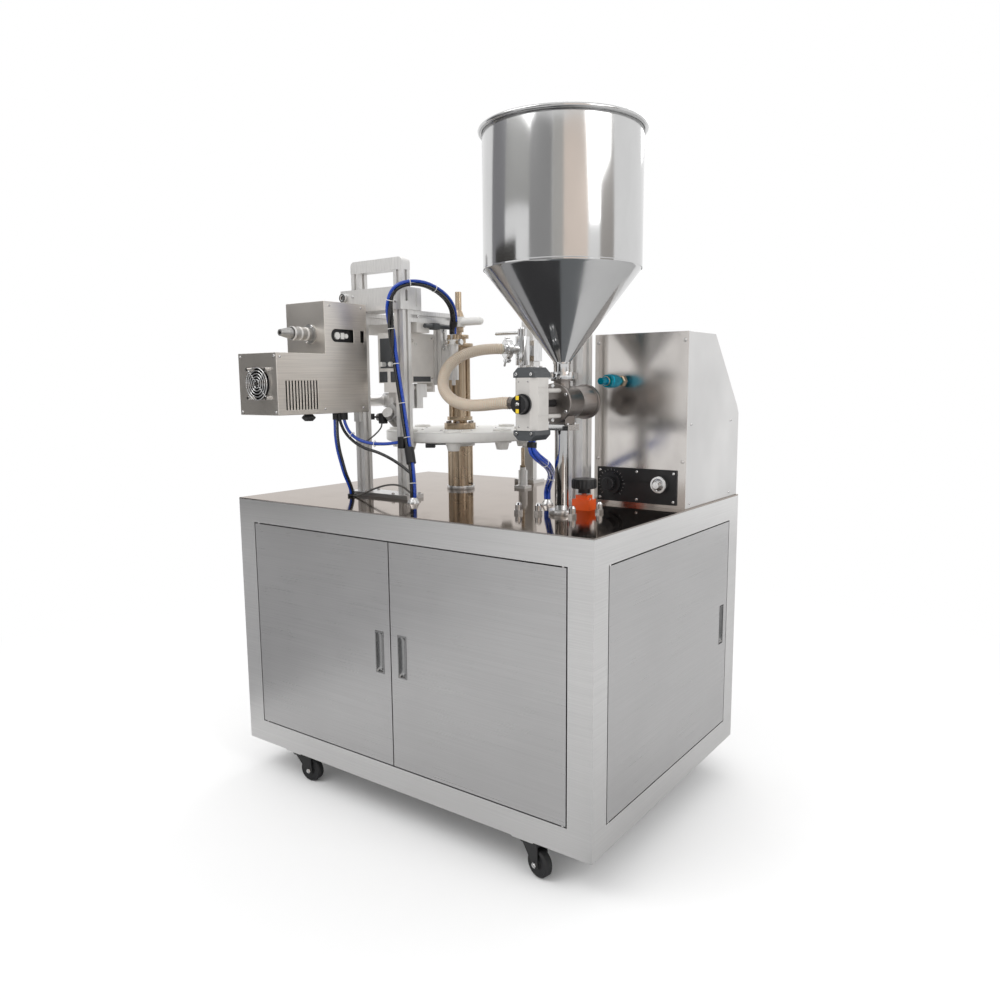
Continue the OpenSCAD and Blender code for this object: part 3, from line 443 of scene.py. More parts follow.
def facing(centre, across, out):
    """A placing matrix: local X runs across a face, local Y up and local Z out of it."""
    return Matrix.Translation(centre) @ Matrix((across, Z_AXIS, out)).transposed().to_4x4()


def cube(bm, low, high):
    """A sharp box between two corners in millimetres; returns its edges."""
    low, high = spot(*low), spot(*high)
    made = bmesh.ops.create_cube(bm, size=1.0)["verts"]
    move(bm, Matrix.Translation((low + high) / 2) @ Matrix.Diagonal((*(high - low), 1)), made)
    return list({e for v in made for e in v.link_edges})


def bevel(bm, edges, radius, segments):
    """Rounds edges by a radius in millimetres."""
    bmesh.ops.bevel(bm, geom=edges, offset=radius * MM, offset_type="OFFSET", affect="EDGES",
                    segments=segments, profile=0.5, material=-1)


def block(bm, low, high, edge=0.8):
    """A box between two corners in millimetres, with rounded edges."""
    bevel(bm, cube(bm, low, high), edge, 2)


def rod(bm, start, end, radius, edge=0.4, sides=24):
    """A round bar between two points in millimetres, with chamfered ends."""
    a, b = spot(*start), spot(*end)
    run = (b - a).length
    r, c = radius * MM, edge * MM
    turned(bm, [(0, 0), (r - c, 0), (r, c), (r, run - c), (r - c, run), (0, run)], a, b - a, sides)


def ring(bm, centre, axis, inner, outer, low, high, edge=0.5, sides=48):
    """A flat ring in millimetres between two heights along its axis."""
    a, b, l, h, c = (v * MM for v in (inner, outer, low, high, edge))
    profile = [(a, l), (b - c, l), (b, l + c), (b, h - c), (b - c, h), (a + c, h), (a, h - c), (a, l)]
    turned(bm, profile, spot(*centre), axis, sides)


def hexagon(bm, at, axis, radius, height):
    """A hexagon head with a chamfered top."""
    r, h = radius * MM, height * MM
    turned(bm, [(0, 0), (r, 0), (r, 0.75 * h), (0.84 * r, h), (0, h)], spot(*at), axis, 6)


def dome_screw(bm, at, axis, radius):
    """A small round head with a hexagon socket."""
    socket_head(bm, at, axis, radius, radius * 0.6, [(0.72, 0.85), (0.94, 0.45), (1.0, 0.0)])


def cap_screw(bm, at, axis, radius, height):
    """A cylinder head with a hexagon socket."""
    socket_head(bm, at, axis, radius, height, [(0.86, 1.0), (1.0, 0.86), (1.0, 0.0)])


def socket_head(bm, at, axis, radius, height, shape):
    """A screw head in millimetres whose shape is given in shares of its radius and height."""
    r, h = radius * MM, height * MM
    flat = 0.46 * r
    profile = [(0, 0.35 * h), (flat, 0.35 * h), (flat, h), *[(r * a, h * b) for a, b in shape], (0, 0)]
    fresh = turned(bm, profile, (0, 0, 0), Z_AXIS, 24)
    for vert in fresh:
        if 0 < vert.co.xy.length < flat * 1.01:
            turn = math.atan2(vert.co.y, vert.co.x) % (math.tau / 6) - math.pi / 6
            vert.co.x *= 1 / math.cos(turn)
            vert.co.y *= 1 / math.cos(turn)
    move(bm, upright(spot(*at), axis), fresh)


def grip(bm, rim, at, axis, teeth, depth):
    """A turned knob in millimetres whose widest rings carry flutes; rim runs from its base to its top."""
    profile = [(0, 0), *rim, (0, rim[-1][1])]
    fresh = turned(bm, [(r * MM, h * MM) for r, h in profile], (0, 0, 0), Z_AXIS, teeth * 6)
    widest = max(v.co.xy.length for v in fresh)
    for vert in fresh:
        if vert.co.xy.length > widest - 1e-6:
            wave = 0.5 + 0.5 * math.cos(teeth * math.atan2(vert.co.y, vert.co.x))
            share = 1 - depth * MM / widest * wave ** 2
            vert.co.x *= share
            vert.co.y *= share
    move(bm, upright(spot(*at), axis), fresh)


def around(a, b, radius, count, phase):
    """Places evenly round a point of a plane; the first stands a phase of one step round."""
    for k in range(count):
        turn = math.tau * (k + phase) / count
        yield a + radius * math.cos(turn), b + radius * math.sin(turn)


def pipe_clamp(bm, centre, axis, up, r):
    """A two-part pipe clamp with its lugs, bolt and wing nut, for a pipe of radius r."""
    centre = Vector(centre)
    half = 7.5
    profile = [(r + 0.4, -half), (r + 3, -half), (r + 4.6, -half + 2), (r + 4.6, half - 2), (r + 3, half),
               (r + 0.4, half), (r + 0.4, -half)]
    turned(bm, [(a * MM, b * MM) for a, b in profile], spot(*centre), axis, 48)
    side = up.cross(axis)
    lug = centre + up * (r + 8)
    rod(bm, lug - side * 9, lug - side * 1.5, 6.5)
    rod(bm, lug + side * 1.5, lug + side * 9, 6.5)
    rod(bm, lug - side * 15, lug + side * 24, 2.6)
    hexagon(bm, lug - side * 15, side, 5, 5)
    rod(bm, lug + side * 10, lug + side * 19, 5.2)
    for way in (1, -1):
        rod(bm, lug + side * 15 + up * 4 * way, lug + side * 21 + up * 15 * way, 3.2)
    hinge = centre - up * (r + 6)
    rod(bm, hinge - axis * 7, hinge + axis * 7, 4.5)


# Hoses

# Straight cuts of a route between two of its rows, before it is cut evenly
ROUTE_CUTS = 40


def smooth_route(rows, step):
    """A Catmull-Rom curve through rows of millimetres, cut into even steps of metres."""
    points = [spot(*row) for row in rows]
    ends = [points[0] * 2 - points[1], *points, points[-1] * 2 - points[-2]]
    fine = []
    for a, b, c, d in zip(ends, ends[1:], ends[2:], ends[3:]):
        for k in range(ROUTE_CUTS):
            t = k / ROUTE_CUTS
            fine.append(0.5 * (2 * b + (c - a) * t + (2 * a - 5 * b + 4 * c - d) * t ** 2
                               + (3 * b - a - 3 * c + d) * t ** 3))
    fine.append(points[-1].copy())
    total = run_of(fine)
    count = max(2, round(total / step))
    even, travelled, wanted = [fine[0]], 0.0, total / count
    for p, q in zip(fine, fine[1:]):
        part = (q - p).length
        while part > 0 and travelled + part >= wanted - 1e-9 and len(even) < count:
            even.append(p.lerp(q, (wanted - travelled) / part))
            wanted += total / count
        travelled += part
    even.append(fine[-1])
    return even


def direction(points, i):
    """The way a route runs at one of its points."""
    return (points[min(i + 1, len(points) - 1)] - points[max(i - 1, 0)]).normalized()


def run_of(points):
    """Length of a route."""
    return sum((q - p).length for p, q in zip(points, points[1:]))


def beside(points, offset, phase, twist, outer, start=0.0, end=1.0):
    """A route beside the first, which winds round it between two shares; phase 0 lies on the outer side."""
    side = Vector(outer)
    made = []
    for i, point in enumerate(points):
        along = direction(points, i)
        side = (side - along * side.dot(along)).normalized()
        share = (i / (len(points) - 1) - start) / (end - start)
        turn = phase + twist * min(1.0, max(0.0, share))
        made.append(point + offset * (math.cos(turn) * side + math.sin(turn) * along.cross(side)))
    return made


def tube_curve(name, points, diameter, sides=3):
    """A round tube as a curve of one open spline."""
    curve = bpy.data.curves.new(name, "CURVE")
    curve.dimensions = "3D"
    curve.bevel_depth = diameter / 2
    curve.bevel_resolution = sides
    curve.use_fill_caps = True
    spline = curve.splines.new("POLY")
    spline.points.add(len(points) - 1)
    for target, point in zip(spline.points, points):
        target.co = (*point, 1)
    spline.use_smooth = True
    return added(name, curve)


def as_mesh(piece):
    """The same piece as a plain mesh."""
    shape = piece.evaluated_get(bpy.context.evaluated_depsgraph_get())
    mesh = bpy.data.meshes.new_from_object(shape)
    mesh.shade_smooth()
    name = piece.name
    bpy.data.objects.remove(piece)
    return added(name, mesh)


def band(bm, points, share, radius, width):
    """A sleeve in millimetres round a bundle, at a share of its length."""
    i = round(share * (len(points) - 1))
    middle = (points[i] - SHIFT) / MM
    ring(bm, middle, direction(points, i), radius - 1.4, radius, -width / 2, width / 2, 0.5, 32)


def air_tube(name, points, finish, node, blend=None, diameter=None):
    """One air tube or cable that goes back into the machine."""
    diameter = diameter or sizes().air_tube
    piece = tube_curve(name, points, diameter)
    piece.data.materials.append(FINISHES[finish].material)
    if blend:
        piece = as_mesh(piece)
        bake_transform(piece)
    else:
        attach(piece, "machine")
    if node:
        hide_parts(node)
    run_of(points)


class FILLER_OT_hoses(bpy.types.Operator):
    """Lays the product hose and the air tubes"""

    bl_idname = "filler.hoses"
    bl_label = "Hoses"

    PRODUCT = ((185, -155, 253), (165, -155, 253), (130, -154, 250), (90, -151, 247), (48, -146, 247),
               (5, -138, 255), (-33, -124, 271), (-62, -105, 293), (-79, -80, 323), (-86, -44, 352),
               (-82, 4, 376), (-71, 62, 390), (-56.8, 111.2, 395), (-44.3, 132.9, 395))
    LOOP = ((-75, -215, 14.4), (-75, -215, 40), (-82, -210, 80), (-95, -202, 120), (-108, -196, 158),
            (-119, -192, 200), (-130, -189, 250), (-140, -188, 300), (-148, -188, 345), (-155, -188, 390),
            (-160, -189, 430), (-162, -192, 465), (-160, -196, 497), (-151, -197, 524), (-134, -191, 543),
            (-114, -170, 553), (-101, -132, 553), (-94, -92, 543), (-91, -55, 525), (-93, -26, 500),
            (-103, -7, 473), (-114, 2, 447), (-114, 2, 433))
    HEATER = ((-290, -240, 227.5), (-290, -240, 205), (-277, -238, 179), (-254, -232, 159), (-222, -221, 148),
              (-185, -208, 146), (-150, -199, 149), (-124, -195, 154))
    UNDER = ((-303, -243, 227.5), (-303, -243, 204), (-288, -240, 174), (-262, -234, 150), (-230, -226, 134),
             (-195, -216, 124), (-158, -210, 110), (-122, -209, 94), (-88, -210, 76))
    DROP = ((-316, -246, 227.5), (-316, -246, 200), (-317, -245, 165), (-317, -240, 130), (-315, -232, 96),
            (-311, -224, 62), (-307, -214, 34), (-305, -208, 14), (-305, -207, 0.5))
    SIGNAL = ((-86, -217, 27), (-108, -215, 38), (-140, -212, 42), (-175, -211, 38), (-210, -213, 28),
              (-244, -216, 15), (-272, -216, 5), (-292, -212, 2.6), (-305, -207, 2.6))
    SENSOR = ((-224, -168, 197), (-226, -169, 187), (-234, -172, 176), (-248, -175, 164), (-264, -176, 154),
              (-281, -174, 147), (-292, -168, 143), (-297, -160, 141))
    FILLER_LINE = ((330, -277, 176.4), (330, -277, 156), (329, -257, 140), (322, -224, 127), (309, -183, 113),
                   (289, -138, 96), (267, -100, 78), (241, -68, 58), (226, -54, 36), (226, -54, 14.4))

    def product_hose(self):
        """The ribbed hose from the valve to the nozzle."""
        diameter = sizes().product_hose
        pitch = sizes().hose_pitch
        points = smooth_route(self.PRODUCT, pitch / 6)
        piece = tube_curve("product_hose_ribbed", points, diameter, 6)
        total = run_of(points)
        rings = []
        for i, target in enumerate(piece.data.splines[0].points):
            wave = 0.5 + 0.5 * math.cos(math.tau * total * i / (len(points) - 1) / pitch)
            target.radius = 0.93 + 0.07 * wave
            rings.append(wave)
        piece = as_mesh(piece)
        mark = piece.data.attributes.new("rib", "FLOAT", "POINT")
        around = len(piece.data.vertices) // len(points)
        for i, item in enumerate(mark.data):
            item.value = rings[min(i // around, len(rings) - 1)]
        piece.data.materials.append(FINISHES["hose"].material)
        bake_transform(piece)
        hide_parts("product_hose")

    def execute(self, context):
        self.product_hose()
        loop = smooth_route(self.LOOP, 0.006)
        for k, finish in enumerate(("blue", "blue", "black_tube", "black_tube")):
            route = beside(loop, 0.0058, math.tau * (k - 0.5) / 4, math.pi, (0.81, 0.59, 0), 0.46, 0.62)
            air_tube("loop_tube_%d" % (k + 1), route, finish, "loop_hoses")
        heater = smooth_route(self.HEATER, 0.005)
        for k, finish in enumerate(("blue", "black_tube")):
            route = beside(heater, 0.0041, math.pi * k, 0.6, (0.8, -0.6, 0))
            air_tube("heater_tube_%d" % (k + 1), route[::-1], finish, "heater_hoses",
                     ("heater", spot(-150, -199, 149), spot(-277, -238, 179)))
        under = smooth_route(self.UNDER, 0.005)
        air_tube("under_tube", under[::-1], "black_tube", None,
                 ("heater", spot(-158, -210, 110), spot(-288, -240, 174)))
        drop = smooth_route(self.DROP, 0.005)
        for k, finish in enumerate(("black_tube", "blue")):
            route = beside(drop, 0.0036, math.pi * k, 0.4, (0.8, 0.6, 0))
            air_tube("drop_tube_%d" % (k + 1), route[::-1], finish, None,
                     ("heater", spot(-307, -214, 34), spot(-317, -245, 165)), 0.007)
        air_tube("signal_cable", smooth_route(self.SIGNAL, 0.005), "grey_cable", None, None, 0.005)
        air_tube("sensor_cable", smooth_route(self.SENSOR, 0.004), "grey_cable", None, None, 0.004)
        filler = smooth_route(self.FILLER_LINE, 0.005)
        for k, finish in enumerate(("blue", "blue", "blue", "black_tube")):
            route = beside(filler, 0.0058, math.tau * (k - 0.5) / 4, 0.5, (0.85, 0.53, 0))
            air_tube("filler_tube_%d" % (k + 1), route, finish, "filler_hoses")
        self.ties(loop, heater, filler)
        return {"FINISHED"}

    def ties(self, loop, heater, filler):
        """Pale ties round the bundles, and the black sleeves where bundles join or end."""
        bm = bmesh.new()
        for share in (0.045, 0.19, 0.3, 0.42, 0.53, 0.62, 0.71, 0.8):
            band(bm, loop, share, 10.1, 1.9)
        for share in (0.3, 0.62):
            band(bm, heater, share, 8.5, 1.9)
        for share in (0.3, 0.7):
            band(bm, filler, share, 10.1, 1.9)
        keep("tube_ties", bm, "white")
        bm = bmesh.new()
        band(bm, loop, 0.135, 12.5, 42)
        band(bm, loop, 0.965, 10.8, 16)
        band(bm, filler, 0.03, 10.8, 12)
        block(bm, (-133, -207, 136), (-113, -187, 166), 2)
        ring(bm, (-305, -207, 0), Z_AXIS, 7.6, 12, 0.3, 7, 1.2)
        keep("tube_sleeves", bm, "black")
        bm = bmesh.new()
        for x, y, r in ((-290, -240, 9.4), (-303, -243, 6), (-316, -246, 8.6)):
            ring(bm, (x, y, 0), Z_AXIS, r - 1.6, r, 208, 227.6, 0.6, 32)
        keep("heater_glands", bm, "black", "heater")


class FILLER_OT_finishes(bpy.types.Operator):
    """Gives every solid its finish and rounds its cut edges"""

    bl_idname = "filler.finishes"
    bl_label = "Finishes"

    # Finish, rounding of the cut edges in metres and names of the solids; 0 leaves their edges as they are
    LOOKS = (
        ("frame", 0.0025, "cabinet_frame"), ("frame", 0.0008, "base_flanges"),
        ("frame", 0, "panels air_duct"), ("door", 0.0012, "door_left door_right side_door"),
        ("housing", 0.0012, "control_housing"), ("heater", 0.0012, "heater_housing"),
        ("table", 0.0008, "table_top"), ("panel", 0.0008, "front_panel"),
        ("mirror", 0.0008, "filler_column"), ("hopper", 0, "hopper"),
        ("chrome", 0.0008, "hopper_clamp filling_nozzle"),
        ("chrome", 0, "base_studs fan_guard nozzle_lever regulator_knob"),
        ("turned", 0.0008, "valve_body dosing_cylinder"), ("turned", 0, "dosing_piston"),
        ("alloy", 0.0008, "profile_frame support_columns head_channel trim_cylinder lift_cylinder"),
        ("alloy", 0.0008, "jaw_front jaw_rear"), ("cast", 0, "hot_air_gun mark_sensor"),
        # The jaw housing takes the lighter copy of the grey enamel, painted light against the shade round it
        ("grey", 0.0012, "actuator_body"), ("pale", 0.0012, "jaw_housing"),
        ("charcoal", 0.0012, "actuator_caps"), ("charcoal", 0, "index_drive"),
        ("black", 0.0008, "control_strip speed_dial adjust_knob"), ("black", 0, "fan_rotor valve_core"),
        ("black", 0.0008, "caster_fork_1 caster_fork_2 caster_fork_3 caster_fork_4"),
        ("rubber", 0, "caster_wheel_1 caster_wheel_2 caster_wheel_3 caster_wheel_4"),
        ("nylon", 0.0012, "index_disc"), ("nylon", 0.0008, "tube_cups"), ("nylon", 0, "top_arm"),
        ("brass", 0.0008, "hub_sleeve upper_column"), ("brass", 0, "lift_rod"),
        ("orange", 0.0012, "stroke_block"), ("cyan", 0, "air_coupler"), ("hose", 0, "product_hose"),
        ("blue", 0, "loop_hoses heater_hoses filler_hoses"),
    )

    def execute(self, context):
        make_finishes()
        for finish, width, nodes in self.LOOKS:
            for node in nodes.split():
                dress(node, finish)
                if width:
                    soften(node, width)
        return {"FINISHED"}


class FILLER_OT_hopper(bpy.types.Operator):
    """Spins the polished hopper with its rolled rim"""

    bl_idname = "filler.hopper"
    bl_label = "Hopper"

    def execute(self, context):
        bm = bmesh.new()
        wall = 0.002
        rim = 0.005
        radius, neck = 0.176, 0.019
        neck_low, cone, cylinder, top = 0.324, 0.346, 0.550, 0.840
        outside = [(neck, neck_low), (neck, cone - 0.004), (neck + 0.001, cone + 0.001),
                   (radius - 0.004, cylinder - 0.006), (radius - 0.0008, cylinder - 0.001),
                   (radius, cylinder + 0.004), (radius, top - 0.004)]
        roll = [(radius + rim - 0.001 + rim * math.cos(turn), top + rim * math.sin(turn))
                for turn in [math.radians(200 + 20 * k) for k in range(16)]]
        inside = [(radius - wall, top - 0.002), (radius - wall, cylinder), (neck - wall, cone),
                  (neck - wall, neck_low)]
        turned(bm, [*outside, *roll, *inside, outside[0]], spot(*FILLER, 0), Z_AXIS, 160)
        piece = keep("hopper_shell", bm, "hopper", smooth=30)
        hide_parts("hopper")
        return {"FINISHED"}


class FILLER_OT_cabinet(bpy.types.Operator):
    """Adds the pulls' cups and bezels and the casters' axle nuts"""

    bl_idname = "filler.cabinet"
    bl_label = "Cabinet"

    # How far each caster stands turned, in degrees
    TURNS = (10, -15, 10, -10)
    # Height of the pulls' middle, then a cup's half width, half height and depth, and a bezel's size
    HEIGHT = -338
    CUP = (0.0108, 0.0498, 0.0095)
    BEZEL = (0.027, 0.105, 1)
    BEZEL_WIDTH, BEZEL_HEIGHT = 0.0028, 0.001

    def pull(self, name, body, place):
        """A finger cup with a thin bezel on a door's face."""
        bm = bmesh.new()
        bmesh.ops.create_grid(bm, x_segments=12, y_segments=30, size=1.0)
        for vert in bm.verts:
            across, up = vert.co.x, vert.co.y
            depth = (1 - abs(across) ** 2.5) ** 0.5 * (1 - abs(up) ** 10) ** 0.5
            vert.co = (across * self.CUP[0], up * self.CUP[1], -self.CUP[2] * depth)
        move(bm, place)
        keep(name + "_cup", bm, "pull", body)
        bm = bmesh.new()
        bmesh.ops.create_grid(bm, x_segments=1, y_segments=1, size=0.5)
        bmesh.ops.scale(bm, vec=self.BEZEL, verts=bm.verts)
        bmesh.ops.inset_region(bm, faces=bm.faces[:], thickness=self.BEZEL_WIDTH, use_even_offset=True,
                               use_boundary=True)
        middle = min(bm.faces, key=lambda face: face.calc_center_median().length)
        bmesh.ops.delete(bm, geom=[middle], context="FACES_ONLY")
        made = bmesh.ops.extrude_face_region(bm, geom=bm.faces[:])["geom"]
        raised = [item for item in made if isinstance(item, bmesh.types.BMVert)]
        bmesh.ops.translate(bm, vec=(0, 0, self.BEZEL_HEIGHT), verts=raised)
        move(bm, place)
        keep(name + "_bezel", bm, "pull", body)

    def execute(self, context):
        self.pull("left_pull", "door_left", facing(spot(-36.5, -390, self.HEIGHT), X_AXIS, -Y_AXIS))
        self.pull("right_pull", "door_right", facing(spot(36.5, -390, self.HEIGHT), X_AXIS, -Y_AXIS))
        self.pull("side_pull", "side_door", facing(spot(549, 292, self.HEIGHT), Y_AXIS, X_AXIS))
        for i, turn in enumerate(self.TURNS, 1):
            low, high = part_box("caster_wheel_%d" % i)
            centre = ((Vector(low) + Vector(high)) / 2 - SHIFT) / MM
            axle = Vector((-math.sin(math.radians(turn)), math.cos(math.radians(turn)), 0))
            bm = bmesh.new()
            for side in (1, -1):
                hexagon(bm, centre + axle * 15.6 * side, axle * side, 7, 4.5)
                rod(bm, centre + axle * 19 * side, centre + axle * 22 * side, 3.5)
            keep("axle_nuts_%d" % i, bm, "chrome", "fork_%d" % i)
        return {"FINISHED"}


class FILLER_OT_index(bpy.types.Operator):
    """Adds the guide bars of the sleeve and the screws of the index disc"""

    bl_idname = "filler.index"
    bl_label = "Index disc"

    def execute(self, context):
        x, y = DISC
        bm = bmesh.new()
        for a, b in around(x, y, 30, 10, 0.5):
            rod(bm, (a, b, 10.6), (a, b, 123.5), 7, 0.6)
        keep("sleeve_bars", bm, "brass", "index_table")
        bm = bmesh.new()
        for way in (1, -1):
            rod(bm, (x + 36 * way, y, 16), (x + 44 * way, y, 16), 2.6)
        for a, b in around(x, y, 37, 6, 0):
            cap_screw(bm, (a, b, 189), Z_AXIS, 4.8, 5.6)
        keep("ring_screws", bm, "turned", "index_table")
        bm = bmesh.new()
        for a, b in around(x, y, 110, 8, 0.5 + 33 / 45):
            dome_screw(bm, (a, b, 172), Z_AXIS, 4)
        keep("disc_screws", bm, "chrome", "index_table")
        bm = bmesh.new()
        block(bm, (x - 100, y - 7, 126), (x - 40, y + 7, 142), 1.5)
        block(bm, (x - 100, y - 11, 118), (x - 72, y + 11, 134), 2)
        turn = Matrix.Rotation(math.radians(36), 4, "Z")
        middle = Matrix.Translation(spot(x, y, 0))
        move(bm, middle @ turn @ middle.inverted())
        keep("index_flag", bm, "charcoal", "index_table")
        return {"FINISHED"}


class FILLER_OT_sealing(bpy.types.Operator):
    """Adds the screws, plates and fittings of the sealing frame"""

    bl_idname = "filler.sealing"
    bl_label = "Sealing frame"

    POSTS = (-311, -158)

    def trim_fittings(self):
        """The push-in elbows, the cream block and the throttle screws on the small air cylinder."""
        x, y = TRIM
        bm = bmesh.new()
        block(bm, (x - 15, y - 15, 404), (x + 15, y + 15, 418), 2)
        block(bm, (x - 24, y - 9, 384), (x - 13, y + 9, 402), 1.5)
        keep("trim_block", bm, "white")
        bm = bmesh.new()
        for dx, dy in ((-8, -8), (9, -6), (7, 9)):
            hexagon(bm, (x + dx, y + dy, 418), Z_AXIS, 6, 5)
            rod(bm, (x + dx, y + dy, 423), (x + dx, y + dy, 431), 4.6)
        rod(bm, (x + 15, y - 4, 411), (x + 25, y - 4, 411), 5)
        rod(bm, (x - 4, y - 15, 411), (x - 4, y - 24, 411), 4.4)
        keep("trim_elbows", bm, "brass")
        bm = bmesh.new()
        rod(bm, (x + 25, y - 4, 411), (x + 33, y - 4, 411), 8, 1)
        rod(bm, (x - 4, y - 24, 411), (x - 4, y - 30, 411), 6.5, 1)
        rod(bm, (x - 18, y - 15, 393), (x - 18, y - 24, 393), 3.4)
        keep("trim_throttles", bm, "chrome")

    def portal_bar(self):
        """The plain cover of the portal's top bar, with its two rounded corners."""
        bm = bmesh.new()
        edges = cube(bm, (-326.6, -165.6, 590.4), (-142.4, -134.4, 621.6))
        top = max(v.co.z for v in bm.verts) - 1e-6
        corners = [e for e in edges if all(v.co.z > top for v in e.verts)
                   and abs(e.verts[0].co.x - e.verts[1].co.x) < 1e-6]
        bevel(bm, corners, 12, 6)
        keep("portal_cover", bm, "alloy")

    def sensor(self):
        """The grey case, the black plug and the clamp screw of the mark sensor."""
        bm = bmesh.new()
        block(bm, (-21, -15, -17), (21, 15, 17), 3)
        tilt = Matrix.Rotation(math.radians(20), 4, "Z") @ Matrix.Rotation(math.radians(-38), 4, "Y")
        move(bm, Matrix.Translation(spot(-198, -152, 226)) @ tilt @ Matrix.Translation(-SHIFT))
        keep("sensor_case", bm, "cast")
        bm = bmesh.new()
        block(bm, (-233, -172, 196), (-215, -154, 224), 2)
        rod(bm, (-262, -163, 206), (-262, -163, 222), 5)
        rod(bm, (-262, -163, 213), (-233, -163, 213), 2.4)
        keep("sensor_plug", bm, "black")

    def execute(self, context):
        bm = bmesh.new()
        for x, z in product(self.POSTS, (510, 530)):
            dome_screw(bm, (x, -175, z), -Y_AXIS, 4)
        for y in (-110, 30):
            cap_screw(bm, (-143, y, 475), X_AXIS, 4.2, 4)
        for z in (315, 440):
            cap_screw(bm, (-145, 0, z), X_AXIS, 3.6, 3.5)
        for y, z in product((-126, -20), (315, 422)):
            dome_screw(bm, (-173, y, z), X_AXIS, 3.2)
        for x, y in product((-335, -285, -184, -134), (-174, -126)):
            cap_screw(bm, (x, y, 10), Z_AXIS, 4.2, 4)
        ring(bm, (-343, -175, 529), -Y_AXIS, 6.5, 12.5, 0, 9, 1)
        cap_screw(bm, (-343, -175, 529), -Y_AXIS, 5.2, 6)
        keep("frame_screws", bm, "chrome")
        bm = bmesh.new()
        ring(bm, (-173, -84, 405), X_AXIS, 3, 5.5, 0, 1.2, 0.3)
        for x in (-226, -194):
            rod(bm, (x, -149, 352), (x, -160, 352), 6)
            hexagon(bm, (x, -160, 352), -Y_AXIS, 7, 5)
        keep("jaw_fittings", bm, "white")
        bm = bmesh.new()
        block(bm, (-242, -149.2, 342), (-178, -147.5, 420), 0.4)
        block(bm, (-246, -149.2, 305), (-218, -147.5, 333), 0.4)
        block(bm, (-206, -149.2, 305), (-178, -147.5, 333), 0.4)
        block(bm, (-173.4, -96, 306), (-172.2, -26, 320), 0.3)
        rod(bm, (-133, -92, 452), (-133, 10, 452), 6)
        block(bm, (-145, -62, 443), (-124, -40, 460), 1.5)
        keep("jaw_plates", bm, "charcoal")
        self.trim_fittings()
        self.sensor()
        self.portal_bar()
        return {"FINISHED"}


class FILLER_OT_heater(bpy.types.Operator):
    """Adds the screws, the lining behind the windows and the gun's rings"""

    bl_idname = "filler.heater"
    bl_label = "Hot air head"

    def execute(self, context):
        bm = bmesh.new()
        for y, z in ((-212, 495), (-320, 495), (-212, 240), (-480, 366), (-345, 240)):
            dome_screw(bm, (-246, y, z), X_AXIS, 3.2)
        for x, z in product((-380, -254), (236, 368)):
            dome_screw(bm, (x, -491, z), -Y_AXIS, 3)
        for x, z in around(*GUN, 20, 2, 1 / 3):
            dome_screw(bm, (x, -341, z), -Y_AXIS, 5)
        keep("heater_screws", bm, "chrome", "heater")
        bm = bmesh.new()
        block(bm, (-380, -330, 396), (-253, -202, 448), 2)
        block(bm, (-380, -478, 234), (-256, -374, 318), 2)
        rod(bm, (-264, -384, 211), (-264, -384, 227.6), 17, 7)
        keep("heater_lining", bm, "black", "heater")
        bm = bmesh.new()
        rod(bm, (-253, -292, 422), (-249, -292, 422), 9)
        rod(bm, (-253, -262, 422), (-248.5, -262, 422), 6)
        block(bm, (-253, -280, 414), (-249.5, -268, 430), 1)
        keep("heater_fittings", bm, "white", "heater")
        bm = bmesh.new()
        for y in (-352, -372, -392):
            ring(bm, (GUN[0], y, GUN[1]), -Y_AXIS, 15.5, 16.8, 0, 6, 0.6)
        keep("gun_rings", bm, "alloy", "heater")
        return {"FINISHED"}


class FILLER_OT_filler(bpy.types.Operator):
    """Adds the clamps, bolts, screws and marks of the filler"""

    bl_idname = "filler.filler"
    bl_label = "Filler"

    def execute(self, context):
        x, y = FILLER
        z = STEM_HEIGHT
        bm = bmesh.new()
        pipe_clamp(bm, (238.5, y, OUTLET_HEIGHT), X_AXIS, Z_AXIS, 23)
        keep("outlet_clamp", bm, "chrome")
        bm = bmesh.new()
        turn = math.radians(240)
        way = Vector((math.cos(turn), math.sin(turn), 0))
        pipe_clamp(bm, Vector((*FILL, NOZZLE_HEIGHT)) + way * 46.5, way, -Z_AXIS, 24)
        keep("nozzle_clamp", bm, "chrome", "nozzle")
        bm = bmesh.new()
        for a, c in around(x, z, 38, 6, 0.5):
            hexagon(bm, (a, -191, c), -Y_AXIS, 4.6, 3.5)
        for a, c in around(x, z, 33, 4, 0.5):
            cap_screw(bm, (a, -47, c), Y_AXIS, 4, 4)
        for dx, b in product((-10, 10), (-296, -258)):
            cap_screw(bm, (x + dx, b, 333), Z_AXIS, 3.6, 3)
        for dx, c in product((-19, 19), (318, 192)):
            cap_screw(bm, (x + dx, -308, c), -Y_AXIS, 3.6, 2.6)
        for dx, dz in product((-12, 12), (-48, 48)):
            dome_screw(bm, (x + dx, -310, z + dz), -Y_AXIS, 2)
        for b, dx in product((-170, -137), (-24, 24)):
            cap_screw(bm, (x + dx, b, 206), Z_AXIS, 4, 4)
        keep("filler_screws", bm, "chrome")
        bm = bmesh.new()
        dome_screw(bm, (x, -333, z), -Y_AXIS, 5)
        keep("indicator_screw", bm, "chrome", "valve")
        bm = bmesh.new()
        for s in (1, -1):
            block(bm, (x - 4, -333.4, z + s * 14 - 4.5), (x + 4, -329, z + s * 14 + 4.5), 0.5)
        keep("indicator_marks", bm, "yellow", "valve")
        bm = bmesh.new()
        grip(bm, ((9, 0), (11.5, 1.5), (11.5, 10), (9, 12)), (257, y, 316), -X_AXIS, 8, 2.4)
        keep("stay_knob", bm, "white")
        bm = bmesh.new()
        ring(bm, (x, y, 0), Z_AXIS, 176.0, 176.5, 547.5, 550.5, 0.2, 120)
        ring(bm, (x, y, 0), Z_AXIS, 19.0, 20.2, 342, 346, 0.5)
        keep("hopper_seams", bm, "mirror")
        return {"FINISHED"}


